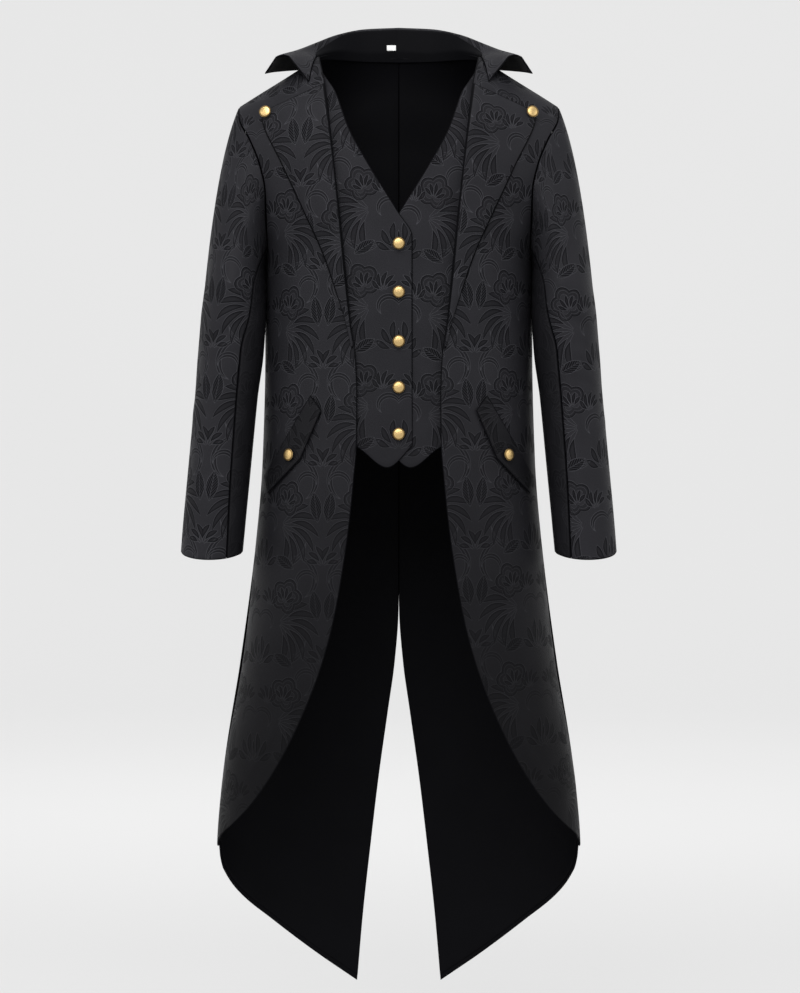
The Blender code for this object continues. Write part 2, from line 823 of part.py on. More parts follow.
def button_profile():
    """Half of a domed button's outline, from its top down its outer side: radius and height."""
    radius = BUTTON_DIAMETER / 2
    dome = [
        (radius * 0.88 * math.sin(a), BUTTON_HEIGHT * (0.5 + 0.5 * math.cos(a)))
        for a in (0, math.radians(35), math.radians(68))
    ]
    rim = [(radius, BUTTON_HEIGHT * 0.42), (radius, BUTTON_HEIGHT * 0.2), (radius * 0.72, 0.0), (0.0, 0.0)]
    return dome + rim


def button(name, face_point, normal, lift, finish):
    """A turned button on the cloth at this point, its back a layer gap above it."""
    mesh = bpy.data.meshes.new(name)
    profile = button_profile()
    mesh.from_pydata(
        [(r * MM, 0, h * MM) for r, h in profile], [(i, i + 1) for i in range(len(profile) - 1)], []
    )
    mesh.materials.append(finish)
    piece = bpy.data.objects.new(name, mesh)
    turned = piece.modifiers.new("turn", "SCREW")
    turned.steps = turned.render_steps = BUTTON_STEPS
    turned.use_merge_vertices = True
    turned.merge_threshold = 0.00001
    piece.rotation_mode = "QUATERNION"
    piece.rotation_quaternion = Vector(normal).to_track_quat("Z", "Y")
    piece.location = Vector((face_point + normal * (lift + LAYER_GAP)) * MM)
    bpy.data.collections["Tailcoat"].objects.link(piece)


def front_place(x, height):
    """A point of the front's outer face and the normal there."""
    step = 1.0
    x, height = np.array(float(x)), np.array(float(height))
    normal = np.cross(
        on_front(x, height - step) - on_front(x, height + step),
        on_front(x + step, height) - on_front(x - step, height),
    )
    normal /= np.linalg.norm(normal)
    return on_front(x, height), normal if normal[1] < 0 else -normal


def buttons(finish):
    for number, height in enumerate(WAISTCOAT_BUTTONS, 1):
        place, normal = front_place(0.0, height)
        button(f"button_waistcoat_{number}", place, normal, -WAISTCOAT_DEPTH, finish)
    for group, (x, height) in (("lapel", LAPEL_BUTTON), ("flap", FLAP_BUTTON)):
        for name, side in SIDES:
            place, normal = front_place(side * x, height)
            button(f"button_{group}_{name}", place, normal, COAT_WALL + FRONT_LAYER_GAP, finish)


SIDES = (("left", 1), ("right", -1))


def main():
    for old in list(bpy.data.objects):
        bpy.data.objects.remove(old)
    bpy.context.scene.collection.children.link(bpy.data.collections.new("Tailcoat"))
    cloth = material("jacquard", JACQUARD, 0.6)
    black = material("lining", LINING_BLACK, 0.8)
    brass = material("brass", BRASS, 0.35, 1.0)
    coat_panels(cloth, black)
    sleeves(cloth)
    layers(cloth)
    collar(cloth, black)
    size_tab(material("tab", TAB_WHITE, 0.8))
    buttons(brass)


main()
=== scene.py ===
"""Looks of a black jacquard cutaway tailcoat with a built-in waistcoat front.

Every cloth piece is a fine wall on the form of its solid. It is read from the same body surface and the same
tables of seams, at more places, and gets soft creases, rounded edges and a flat UV map in metres.
The tables are in millimetres. The front faces -Y, the wearer's left is +X and +Z is up.
"""

import math

import bmesh
import bpy
import numpy as np
from bpy.props import FloatProperty, FloatVectorProperty, PointerProperty
from mathutils import Matrix, Vector


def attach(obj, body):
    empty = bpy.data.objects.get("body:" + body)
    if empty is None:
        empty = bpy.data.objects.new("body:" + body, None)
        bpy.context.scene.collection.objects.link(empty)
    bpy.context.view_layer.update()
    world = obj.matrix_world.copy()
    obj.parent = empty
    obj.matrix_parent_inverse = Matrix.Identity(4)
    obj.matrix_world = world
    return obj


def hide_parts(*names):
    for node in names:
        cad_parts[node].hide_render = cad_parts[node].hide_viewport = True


bl_info = {
    "name": "Cutaway Tailcoat",
    "version": (1, 0, 0),
    "blender": (4, 5, 0),
    "location": "3D View > Sidebar > Tailcoat",
    "description": "Dresses a cutaway tailcoat's solids in jacquard, lining and brass",
    "category": "Object",
}

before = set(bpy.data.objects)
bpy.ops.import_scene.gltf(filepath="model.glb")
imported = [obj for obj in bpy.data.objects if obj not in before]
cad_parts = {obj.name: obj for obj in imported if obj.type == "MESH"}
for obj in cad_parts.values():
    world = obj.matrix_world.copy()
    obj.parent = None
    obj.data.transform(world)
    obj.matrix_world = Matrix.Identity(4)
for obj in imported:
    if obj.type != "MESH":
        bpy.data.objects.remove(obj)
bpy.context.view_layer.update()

MM = 0.001
SIDES = (("left", 1), ("right", -1))

# Walls and gaps, as in the solids
COAT_WALL = 2.0
LINING_WALL = 1.0
WAISTCOAT_WALL = 1.8
COLLAR_WALL = 2.2
SEAM_GAP = 0.3
LAYER_GAP = 0.4
FRONT_LAYER_GAP = 0.7
COLLAR_SEAT = 1.9
WAISTCOAT_DEPTH = 5.5
OVERLAP_DEPTH = 2.4
SLEEVE_CLEARANCE = 0.1
EDGE_ROUND = 1.5  # how far a wall's outer and inner faces stop short of its rounded edge, whose faces carry the painted shadow line
LAPEL_EDGE = 2.4  # the same on the lapels, wider, for a wider painted shadow line along their edges
CROWN = 2.2  # how far a lapel's middle stands off its front
FLAP_LIFT = 1.6  # how far a flap's free edge stands off

# Body surface
SECTION_POWER = 2.4  # 2 would make each section an ellipse
SHOULDER_POWER = 2.2
RIDGE_Y = 12.0
FRONT_REACH = 150.0  # height in which the front rounds over into the shoulder
BACK_REACH = 110.0
SHOULDER_X = 224.0
UNDERARM = -290.0
PRESS_IN = 3.2  # how far the sleeve is pressed in at the underarm, so that no light shows there
PRESS_HEIGHT = -278.0
PRESS_REACH = 24.0
PRESS_END = 205.0  # how far out from the middle of the coat the press ends
PRESS_FADE = 18.0
RIDGE_START = 0.0004
YOKE = 0.2  # share of a panel's rows in which the shoulder rounds over
FRONT_END_EDGE = -1088.0
FRONT_END_SIDE = -1112.0
WAISTCOAT_TUCK = 28.0
WAISTCOAT_SHOULDER = 9.0
WAISTCOAT_LAP = 19.0
HEM_BLEND = 0.6
ARMHOLE_SEAM = math.radians(150)
CAP_END = 0.28  # share of a sleeve's rows in its cap
CUFF = -640.0
HEM_DIP = 11.0
FACING_LIFT = 1.3
FACING_REACH = (4.5, 1.8)
FACING_TOP = 0.4
FACING_HEM = 0.0  # height of the facing's lower edge at the nape
FACING_HEM_FALL = 12.0  # how much lower that edge runs at its ends
FACING_END = 117.0  # how far from the middle its ends are
FACING_FADE = 0.15  # share of its width in which the hanging part runs out
FACING_SLOPE = 0.16  # how far the hanging part slopes away from the neck
NECK_MIDDLE = (0, 20, 0)
GRAIN_LEVEL = -300.0  # the height from which the cloth's own lengths are counted


def table(names, *rows):
    """Rows as named columns, sorted by the first."""
    values = np.array(sorted(rows), float)
    return dict(zip(names.split(), values.T))


BODY = table(
    "height half_width front back side_y",
    (60, 275, 100, 92, 20),
    (-60, 262, 122, 98, 22),
    (-130, 238, 138, 102, 24),
    (-200, 214, 146, 102, 25),
    (-250, 198, 149, 101, 26),
    (UNDERARM, 187.8, 150, 100, 26),
    (-424, 187.6, 146, 92, 22),
    (-571, 191, 144, 98, 14),
    (-706, 202, 144, 108, 8),
    (-853, 220, 144, 118, 4),
    (-1030, 248, 144, 128, 0),
    (-1112, 254, 144, 132, 0),
    (-1330, 256, 144, 138, 0),
)

RIDGE = table(
    "x height",
    (0, 62),
    (40, 50),
    (76, 30),
    (100, 7),
    (112, -5),
    (141, -24.8),
    (220, -74),
    (240, -87),
)

NECK = table(
    "x y",
    (0, 102),
    (42, 96),
    (76, 76),
    (100, 42),
    (112, RIDGE_Y),
)

FRONT_EDGE = table(
    "height x",
    (-5, 112),
    (-57, 101),
    (-116, 93.5),
    (-192, 85),
    (-315, 72),
    (-393, 65),
    (-442, 58.5),
    (-494, 56.5),
    (-559, 57),
    (-607, 61),
    (-660, 66.5),
    (-706, 73),
    (-786, 87.5),
    (-855, 107),
    (-934, 139),
    (-993, 170),
    (-1044, 205),
    (FRONT_END_EDGE, 245.5),
)

ARMHOLE = table(
    "height front_x back_x",
    (-76, SHOULDER_X, SHOULDER_X),
    (-97, 222, 220),
    (-129, 206, 212),
    (-167, 191, 204),
    (-203, 184, 198),
    (-247, 184.5, 193),
    (UNDERARM, 187.8, 187.8),
)

VENT_EDGE = table(
    "height x",
    (100, 0),
    (-760, 0),
    (-790, 0.5),
    (-860, 6),
    (-931, 16),
    (-1023, 29),
    (-1132, 42),
    (-1223, 52),
    (-1322, 60.5),
)

HEM = table(
    "x height",
    (60.5, -1322),
    (121, -1279),
    (182, -1229.5),
    (226.5, -1188),
    (248.5, -1151),
    (252.8, -1130),
    (254, FRONT_END_SIDE),
)

LAPEL = table(
    "row fold_x fold_height outer_x outer_height",
    (0, 101.5, -55, 189, -92),
    (0.05, 100.5, -62, 188.5, -103),
    (0.2, 92, -128, 160, -167.5),
    (0.4, 84, -198, 132, -228.5),
    (0.6, 77, -268, 104.5, -289.5),
    (0.8, 70.5, -338, 85.3, -344.5),
    (0.92, 66, -386, 71.7, -388),
    (1, 61.5, -420, 64, -421),
)

NECKLINE = table(
    "height x",
    (-16, 113),
    (-27.5, 110.5),
    (-65, 88.5),
    (-80, 82.5),
    (-123, 66.5),
    (-173, 39),
    (-236, 0),
    (-268, -WAISTCOAT_LAP),
    (-600, -WAISTCOAT_LAP),
)

WAISTCOAT_HEM = table(
    "x height",
    (-WAISTCOAT_LAP - 1, -552),
    (16, -583.5),
    (54, -558),
    (90, -540),
)

SLEEVE = table(
    "height x y half_width half_depth front_seam back_seam",
    (-330, 227.5, -22, 42.2, 73, 132, 128),
    (-375, 230, -25, 45.2, 70, 124, 122),
    (-424, 233.5, -27, 45.6, 66, 112, 116),
    (-487, 239.8, -30, 43.6, 63, 114, 116),
    (-594, 249.5, -38, 43.4, 58, 117, 118),
    (-661, 255.5, -44, 43.2, 55, 121, 120),
    (-698, 258.5, -48, 42.8, 53, 123, 122),
)

COLLAR = table(
    "station neck_x neck_y crest_x crest_y crest_z roll edge_x edge_y edge_z",
    (0, 0, 102, 0, 106, 52, 8, 0, 124, 2),
    (1, 42, 96, 46, 100, 49, 8, 51, 119, 0),
    (2, 76, 76, 84, 79, 38, 9, 97, 99, -6),
    (3, 100, 42, 112, 44, 21, 11, 137, 64, -15),
    (4, 112, RIDGE_Y, 133, 12, 6, 14, 163, 24, -23),
    (5, 117, -24, 146, -18, -4, 17, 178, -18, -31),
    (6, 123.5, -61, 151, -46, -11, 20, 185.5, -60, -39),
)

PROFILE = table(
    "down rise fall roll",
    (0, 0, 0, 0),
    (0.22, 0.5, 0, 0),
    (0.42, 0.93, 0, 0),
    (0.5, 1.0, 0, 0.5),
    (0.58, 0.93, 0.06, 1),
    (0.78, 0.93, 0.5, 1),
    (1, 0.93, 1, 1),
)

FLAP_SEAM = ((119.7, -484), (185, -594))
FLAP_FREE = ((104, -505.5), (132, -571), (178, -619))
FLAP_CORNER_AT = 0.52

# The size tab, as in the solids
TAB_PLACE = -0.06
TAB_LIFT = 0.8
TAB_WALL = 1.0
TAB_WIDTH = 13.0
TAB_HEIGHT = 8.0

# Insets from a button's rim to its middle, as shares of its radius, and how far each rises, of its height
BUTTON_STEPS = (
    (0.04, 0.05),
    (0.07, 0.02),
    (0.05, -0.07),
    (0.05, 0.04),
    (0.1, 0.17),
    (0.16, 0.17),
    (0.2, 0.14),
    (0.2, 0.06),
)
BUTTON_RIM = 0.42  # height of a button's rim, of its whole height
GROOVE_AT = 0.8  # place of the groove between a button's dome and its rim, as a share of its radius
BUTTON_TURN = 0.55  # how far the lapel buttons turn from the sloping lapel towards the front, of 1
BUTTON_TILT_LIFT = 6.0  # and how far their middle then stands off for the whole tilt
WAISTCOAT_BUTTONS = (-278.5, -344.5, -411.5, -474, -537.5)
LAPEL_BUTTON = (180.5, -95)
FLAP_BUTTON = (146.5, -565.5)

# Stitches: length, gap and thread's width
TOPSTITCH = (2.2, 0.9, 0.45)
BUTTONHOLE_STITCH = (5.0, 0.1, 0.7)
TOPSTITCH_LINE = 0.87  # place of the topstitching on a flap, from its seam to its free edge
BUTTONHOLE = (-13.5, -8.2)  # where the visible end of a worked buttonhole runs, across

# Studio, in metres
BOWL_RADIUS = 9.0
BOWL_COVE = 2.0  # radius of the bend from the floor to the wall
BOWL_HEIGHT = 6.0
CAMERA_X = 0.00168
CAMERA_HEIGHT = -0.6223
COAT_MIDDLE = (0, 0, -0.62)
WALL_SPOT = (0, 9, -0.9)

# What each sheet is cut to, in metres and square metres, and what it is sewn to
CUTS = {
    "front": (0.271, 1.173, 0.194, "back"),
    "back": (0.319, 1.381, 0.314, "collar"),
    "lining": (0.311, 1.358, 0.300, "back"),
    "sleeve_top": (0.420, 0.632, 0.135, "front"),
    "sleeve_under": (0.137, 0.467, 0.0515, "sleeve_top"),
    "lapel": (0.140, 0.375, 0.0187, "front"),
    "waistcoat": (0.171, 0.599, 0.051, "front"),
    "flap": (0.135, 0.060, 0.0054, "front"),
    "collar": (0.587, 0.099, 0.042, "back"),
    "neck_facing": (0.358, 0.049, 0.0118, "collar"),
}


# ---- Reading tables ----


def read(rows, column, at):
    """The column's monotone cubic, read at values of the first column."""
    knots, values = next(iter(rows.values())), rows[column]
    secant = np.diff(values) / np.diff(knots)
    slope = np.zeros(len(knots))
    level = secant[:-1] * secant[1:] > 0
    slope[1:-1][level] = 2 * (secant[:-1] * secant[1:])[level] / (secant[:-1] + secant[1:])[level]
    slope[0], slope[-1] = secant[0], secant[-1]
    at = np.clip(at, knots[0], knots[-1])
    low = np.clip(np.searchsorted(knots, at) - 1, 0, len(knots) - 2)
    span = knots[low + 1] - knots[low]
    t = (at - knots[low]) / span
    return (
        values[low] * (1 + 2 * t) * (1 - t) ** 2
        + slope[low] * span * t * (1 - t) ** 2
        + values[low + 1] * t * t * (3 - 2 * t)
        - slope[low + 1] * span * t * t * (1 - t)
    )


def mix(low, high, share):
    return low + (high - low) * share


def points(x, y, z):
    return np.stack(np.broadcast_arrays(x, y, z), -1)


def shares(count):
    return np.linspace(0, 1, count + 1)


# ---- Body surface: turn is 0 at the centre front, 90 degrees at the side seam, 180 at the centre back ----


def section_x(turn, height):
    sine = np.sin(turn)
    return read(BODY, "half_width", height) * np.sign(sine) * np.abs(sine) ** (2 / SECTION_POWER)


def body(turn, height):
    """The coat's outer face."""
    cosine = np.cos(turn)
    front = cosine > 0
    depth = np.where(front, -read(BODY, "front", height), read(BODY, "back", height))
    x = section_x(turn, height)
    y = read(BODY, "side_y", height) + depth * np.abs(cosine) ** (2 / SECTION_POWER)
    drop = read(RIDGE, "height", np.abs(x)) - height
    share = np.clip(drop / np.where(front, FRONT_REACH, BACK_REACH), 0, 1)
    rounding = (1 - (1 - share) ** SHOULDER_POWER) ** (1 / SHOULDER_POWER)
    return points(x, RIDGE_Y + (y - RIDGE_Y) * rounding, height)


def turn_at(x, height, back=False):
    share = np.clip(np.abs(x) / read(BODY, "half_width", height), 0, 1)
    turn = np.arcsin(share ** (SECTION_POWER / 2)) * np.sign(x)
    return math.pi - turn if back else turn


def on_front(x, height):
    return body(turn_at(x, height), height)


def bent_height(x, bend, reach):
    """Height of the shoulder where it has rounded over by this bend, from 0 to 90 degrees."""
    return read(RIDGE, "height", np.abs(x)) - reach * (1 - np.cos(bend) ** (2 / SHOULDER_POWER))


def settle(turn_of, bend_of, reach):
    """The height at which turn_of(height) has the bend that bend_of(x, height) gives."""
    height = np.full(np.shape(turn_of(0.0)), -60.0)
    for _ in range(14):
        x = np.abs(section_x(turn_of(height), height))
        height = bent_height(x, bend_of(x, height), reach)
    return height


def neck_bend(x, height):
    """Bend of the back's top edge: the neck seam, then none along the shoulder seam."""
    turn = turn_at(x, height, back=True)
    depth = read(BODY, "back", height) * np.abs(np.cos(turn)) ** (2 / SECTION_POWER)
    full = read(BODY, "side_y", height) + depth
    rounding = np.clip((read(NECK, "y", x) - RIDGE_Y) / (full - RIDGE_Y), 0, 1)
    return np.arcsin(rounding ** (SHOULDER_POWER / 2))


def armhole_turn(height, back):
    column = "back_x" if back else "front_x"
    turn = turn_at(read(ARMHOLE, column, height), height)
    turn = np.where(height > UNDERARM, turn, math.pi / 2)
    return math.pi - turn if back else turn


def panel_face(edge_turn, bottom, back):
    """A front's or back's face. across is 0 at the centre edge and 1 at the side, down is 0 at the top."""
    reach = BACK_REACH if back else FRONT_REACH

    def heights(turn_of, bend):
        if not back:
            return settle(turn_of, lambda x, height: bend, reach)
        return settle(
            turn_of, lambda x, height: mix(neck_bend(x, height), math.pi / 2, bend * 2 / math.pi), reach
        )

    def face(across, down):
        across, down = np.broadcast_arrays(np.asarray(across, float), down)
        bend = np.clip(down / YOKE, 0, 1) * math.pi / 2
        below = np.clip((down - YOKE) / (1 - YOKE), 0, 1)
        edge_height = mix(heights(lambda h: edge_turn(h) + 0 * bend, bend), bottom(0.0), below)
        side_height = mix(heights(lambda h: armhole_turn(h, back) + 0 * bend, bend), bottom(1.0), below)
        turn = mix(edge_turn(edge_height), armhole_turn(side_height, back), across)
        height = mix(heights(lambda h: turn + 0 * h, bend), bottom(across), below)
        return body(turn, height)

    return face


def front_edge_turn(height):
    return turn_at(read(FRONT_EDGE, "x", height), height)


def vent_edge_turn(height):
    return turn_at(read(VENT_EDGE, "x", height), height, back=True)


def front_bottom(across):
    return mix(FRONT_END_EDGE, FRONT_END_SIDE, across)


def back_bottom(across):
    """Height of the tail's hem."""
    tip = turn_at(HEM["x"][0], HEM["height"][0], back=True)
    return read(HEM, "height", section_x(mix(tip, math.pi / 2, across), HEM["height"].mean()))


FRONT = panel_face(front_edge_turn, front_bottom, back=False)
BACK = panel_face(vent_edge_turn, back_bottom, back=True)


# ---- Faces of the other pieces: across and down run from 0 to 1 ----


def lapel_face(across, down):
    x = mix(read(LAPEL, "fold_x", down), read(LAPEL, "outer_x", down), across)
    height = mix(read(LAPEL, "fold_height", down), read(LAPEL, "outer_height", down), across)
    return on_front(x, height)


def waistcoat_face(across, down):
    """From the neckline and centre edge to the line where it is sewn in under the coat front."""
    top, low = NECKLINE["height"][-1], WAISTCOAT_HEM["height"][0]

    def x_at(height):
        return mix(read(NECKLINE, "x", height), read(FRONT_EDGE, "x", height) + WAISTCOAT_TUCK, across)

    under_ridge = read(RIDGE, "height", np.abs(x_at(top))) - WAISTCOAT_SHOULDER
    height = mix(np.minimum(top, under_ridge), low, down)
    x = x_at(height)
    hem = read(WAISTCOAT_HEM, "height", x) - low
    height = height + hem * np.clip((down - HEM_BLEND) / (1 - HEM_BLEND), 0, 1)
    return on_front(x, height)


def flap_face(across, down):
    """across runs along the seam, from its top; down runs from the seam to the free edge."""
    (seam_x0, seam_z0), (seam_x1, seam_z1) = FLAP_SEAM
    knots = (0, FLAP_CORNER_AT, 1)
    free_x = np.interp(across, knots, [x for x, _ in FLAP_FREE])
    free_z = np.interp(across, knots, [z for _, z in FLAP_FREE])
    x = mix(mix(seam_x0, seam_x1, across), free_x, down)
    return on_front(x, mix(mix(seam_z0, seam_z1, across), free_z, down))


def armhole_point(around):
    """Point of the armhole. around is 0 at the shoulder, positive in front, 180 degrees at the underarm."""
    top = read(RIDGE, "height", SHOULDER_X)
    height = mix(top, UNDERARM, (1 - np.cos(around)) / 2)
    front = body(armhole_turn(height, False), height)
    back = body(armhole_turn(height, True), height)
    return np.where((np.sin(around) >= 0)[..., None], front, back)


def sleeve_ring(around, height):
    """Point of a sleeve's ring, for the same angles."""
    x = read(SLEEVE, "x", height) + read(SLEEVE, "half_width", height) * np.cos(around)
    y = read(SLEEVE, "y", height) - read(SLEEVE, "half_depth", height) * np.sin(around)
    near_cuff = np.clip((CUFF - height) / (CUFF - SLEEVE["height"][0]), 0, 1)
    return points(x, y, height - HEM_DIP * np.abs(np.sin(around)) * near_cuff)


def clear_of_side(place):
    """Moves a sleeve's points out where they would cut into the coat's side."""
    x, y, height = place[..., 0], place[..., 1], place[..., 2]
    across = y - read(BODY, "side_y", height)
    depth = np.where(across < 0, read(BODY, "front", height), read(BODY, "back", height))
    share = np.clip(np.abs(across) / depth, 0, 1)
    side = read(BODY, "half_width", height) * (1 - share**SECTION_POWER) ** (1 / SECTION_POWER)
    held = np.where(height < UNDERARM + 4, np.maximum(x, side + SLEEVE_CLEARANCE), x)
    near = np.exp(-(((height - PRESS_HEIGHT) / PRESS_REACH) ** 2))
    near = near * np.clip((PRESS_END - x) / PRESS_FADE, 0, 1)
    return points(held - PRESS_IN * near, y, height)


def sleeve_point(around, down):
    """around as in armhole_point. down: the cap runs from 0 to CAP_END, the arm to 1."""
    cap = np.clip(down / CAP_END, 0, 1)[..., None]
    arm = np.clip((down - CAP_END) / (1 - CAP_END), 0, 1)
    top, low = SLEEVE["height"][-1], SLEEVE["height"][0]
    start = armhole_point(around) + points(SEAM_GAP, 0, -SEAM_GAP * np.cos(around))
    ring = sleeve_ring(around, mix(top, low, arm))
    shoulder = sleeve_ring(around, top + 0 * arm)
    drop = (0.27 + 0.1 * (1 - np.cos(around)) / 2)[..., None]
    pull = mix(start, shoulder, np.concatenate([0.62 + 0 * drop, 0.5 + 0 * drop, drop], -1))
    curved = (1 - cap) ** 2 * start + 2 * cap * (1 - cap) * pull + cap**2 * shoulder
    return clear_of_side(np.where(cap < 1, curved, ring))


def seam_angles(down):
    """The angles of the front and back sleeve seams at this row."""
    arm = np.clip((down - CAP_END) / (1 - CAP_END), 0, 1)
    height = mix(SLEEVE["height"][-1], SLEEVE["height"][0], arm)
    cap = np.clip(down / CAP_END, 0, 1)
    front = mix(ARMHOLE_SEAM, np.radians(read(SLEEVE, "front_seam", height)), cap)
    back = mix(ARMHOLE_SEAM, np.radians(read(SLEEVE, "back_seam", height)), cap)
    return front, back


def top_sleeve_face(across, down):
    front, back = seam_angles(down)
    return sleeve_point(np.where(across < 0.5, front * (1 - 2 * across), back * (1 - 2 * across)), down)


def under_sleeve_face(across, down):
    front, back = seam_angles(down)
    half = np.where(across < 0.5, 2 * across, 2 - 2 * across)
    side = np.where(across < 0.5, front, back)
    around = mix(side, math.pi, half) * np.where(across < 0.5, 1, -1)
    return sleeve_point(around, down)


def neck_point(station):
    """The collar seam: on the back's neck edge behind the shoulder seam, on the front before it."""
    x, y = read(COLLAR, "neck_x", station), read(COLLAR, "neck_y", station)
    back = y > RIDGE_Y
    reach = np.where(back, BACK_REACH, FRONT_REACH)
    height = np.full(np.shape(x), 0.0)
    for _ in range(14):
        turn = turn_at(x, height)
        depth = np.where(back, read(BODY, "back", height), -read(BODY, "front", height))
        full = read(BODY, "side_y", height) + depth * np.cos(turn) ** (2 / SECTION_POWER)
        rounding = np.clip((y - RIDGE_Y) / (full - RIDGE_Y), 0, 1)
        height = bent_height(x, np.arcsin(rounding ** (SHOULDER_POWER / 2)), reach)
    return points(x, y, height)


def collar_face(across, down):
    """The collar. across is -1 at the wearer's right end, down is 0 at the seam and 0.5 on the roll."""
    across, down = np.broadcast_arrays(np.asarray(across, float), down)
    last = COLLAR["station"][-1]
    side, station = np.where(across < 0, -1, 1), np.abs(across) * last
    neck = neck_point(station) + points(0, 0, COLLAR_SEAT)
    crest = points(*[read(COLLAR, "crest_" + axis, station) for axis in "xyz"])
    edge = points(*[read(COLLAR, "edge_" + axis, station) for axis in "xyz"])
    outward = (edge - crest) * (1, 1, 0)
    outward /= np.linalg.norm(outward, axis=-1, keepdims=True)
    rise, fall, roll = (read(PROFILE, name, down)[..., None] for name in ("rise", "fall", "roll"))
    over = crest + outward * read(COLLAR, "roll", station)[..., None] * roll
    place = neck + (over - neck) * (1, 1, 0) * np.minimum(rise / 0.93, 1)
    lift = (crest - neck)[..., 2:] * rise
    place = place + points(0, 0, 1) * lift
    shoulder = over * (1, 1, 0) + points(0, 0, 1) * (neck[..., 2:] + lift)
    place = np.where(fall > 0, mix(shoulder, edge, fall), place)
    return place * points(side, 1, 1)


def facing_face(across, down):
    """The inside of the stand, between the facing's slanted ends. Below 0, it hangs over the neck seam."""
    inside = np.clip(down, 0, 1)
    reach = mix(*FACING_REACH, inside) / COLLAR["station"][-1]
    place = collar_face(across * reach, mix(0.03, FACING_TOP, inside))
    x = np.abs(place[..., 0])
    drop = place[..., 2] - FACING_HEM + FACING_HEM_FALL * (x / FACING_END) ** 6
    drop = drop * np.clip(-down, 0, 1) * np.clip((1 - np.abs(across)) / FACING_FADE, 0.15, 1)
    outward = (place - NECK_MIDDLE) * (1, 1, 0)
    outward /= np.linalg.norm(outward, axis=-1, keepdims=True)
    return place + (outward * FACING_SLOPE - (0, 0, 1)) * drop[..., None]


# ---- Creases ----

# Soft creases of the body's cloth: from one end to the other, in (minus) or out, and half as wide as "width"
FRONT_CREASES = table(
    "x0 height0 x1 height1 depth width",
    (118, -440, 158, -305, -1.1, 13),
    (128, -215, 172, -262, -1.0, 9),
    (92, -660, 132, -905, -1.3, 17),
    (152, -610, 160, -930, 1.5, 20),
    (196, -700, 214, -1050, -1.8, 19),
    (158, -915, 212, -1015, 0.9, 7),
    (70, -520, 84, -660, 0.9, 10),
)

BACK_CREASES = table(
    "x0 height0 x1 height1 depth width",
    (42, -150, 56, -430, 1.2, 17),
    (92, -330, 118, -130, -1.3, 15),
    (118, -520, 152, -345, -1.4, 14),
    (56, -560, 84, -1010, 2.1, 22),
    (128, -600, 160, -1060, -2.4, 25),
    (192, -650, 224, -1070, 2.0, 20),
    (88, -900, 104, -1240, -1.5, 13),
    (168, -1080, 200, -1190, 1.1, 11),
)

# The same on a sleeve, with the way round it in place of x: 0 at its outer line, positive over the front
SLEEVE_CREASES = table(
    "x0 height0 x1 height1 depth width",
    (34, -130, 78, -268, -1.6, 12),
    (38, -402, 112, -372, -1.7, 7),
    (28, -436, 118, -414, 1.4, 8),
    (40, -474, 104, -459, -1.3, 6),
    (-6, -505, 72, -540, 1.0, 9),
    (22, -612, 84, -596, -0.9, 7),
    (-88, -404, -24, -388, -1.5, 8),
    (-96, -452, -18, -430, 1.3, 9),
    (-70, -170, -38, -290, -1.5, 13),
    (-60, -610, 4, -648, 0.8, 9),
)


def crease_depth(creases, x, height, side=1):
    """How far the creases move the cloth. Each is a bowed trough or ridge that fades towards its ends."""
    moved = np.zeros(np.broadcast(x, height).shape)
    for number, (x0, height0, x1, height1, depth, width) in enumerate(zip(*creases.values())):
        uneven = 1 + 0.25 * math.sin(2.4 * number + 1.7 * side)
        run = np.array((x1 - x0, height1 - height0))
        length = np.hypot(*run)
        off_x, off_height = x - x0, height - height0 - 9 * side * math.sin(number)
        along = (off_x * run[0] + off_height * run[1]) / length**2
        bow = 0.06 * length * math.cos(1.9 * number) * (1 - (2 * along - 1) ** 2)
        away = (off_x * run[1] - off_height * run[0]) / length + bow
        fade = np.clip(1 - (2 * along - 1) ** 2, 0, 1) ** 1.5
        moved += depth * uneven * fade * np.exp(-((away / (width * uneven)) ** 2))
    return moved


# ---- Cloth walls ----


def grid_normals(place, inside):
    """Unit normals of a grid of points, pointing away from the point `inside` at the grid's middle."""
    normal = np.cross(np.gradient(place, axis=1), np.gradient(place, axis=0))
    normal /= np.linalg.norm(normal, axis=-1, keepdims=True)
    middle = tuple(size // 2 for size in place.shape[:2])
    return normal if np.dot(normal[middle], place[middle] - np.array(inside, float)) > 0 else -normal


def flat_on_body(place, back=False):
    """Cloth lengths of points of the body: along the section from its centre, and down the body."""
    x, height = np.abs(place[..., 0]), place[..., 2]
    steps = np.linspace(0, 1, 33).reshape(-1, *(1,) * x.ndim)
    turn = turn_at(x, height, back)
    ring = body(mix(math.pi if back else 0.0, turn, steps), height + 0 * steps)
    line = body(turn + 0 * steps, mix(GRAIN_LEVEL, height, steps))
    along, down = (np.linalg.norm(np.diff(run, axis=0), axis=-1).sum(0) for run in (ring, line))
    return np.stack([along * np.sign(place[..., 0]), down * np.sign(height - GRAIN_LEVEL)], -1)


def flat_by_length(place, column, row):
    """Cloth lengths of a grid, measured along its own rows and columns from this column and row."""
    across = np.linalg.norm(np.diff(place, axis=1), axis=-1)
    down = np.linalg.norm(np.diff(place, axis=0), axis=-1)
    u = np.concatenate([0 * across[:, :1], np.cumsum(across, axis=1)], axis=1)
    v = np.concatenate([0 * down[:1], np.cumsum(down, axis=0)], axis=0)
    return np.stack([u - u[:, column : column + 1], v[row : row + 1] - v], -1)


def draw_in(grid, distance):
    """Moves a grid's border inwards along its own lines by this distance."""
    for _ in range(2):
        for edge, near in ((0, 1), (-1, -2)):
            step = grid[near] - grid[edge]
            length = np.linalg.norm(step, axis=-1, keepdims=True)
            grid[edge] += step * np.minimum(distance / np.maximum(length, 1e-6), 0.8)
        grid = grid.swapaxes(0, 1)


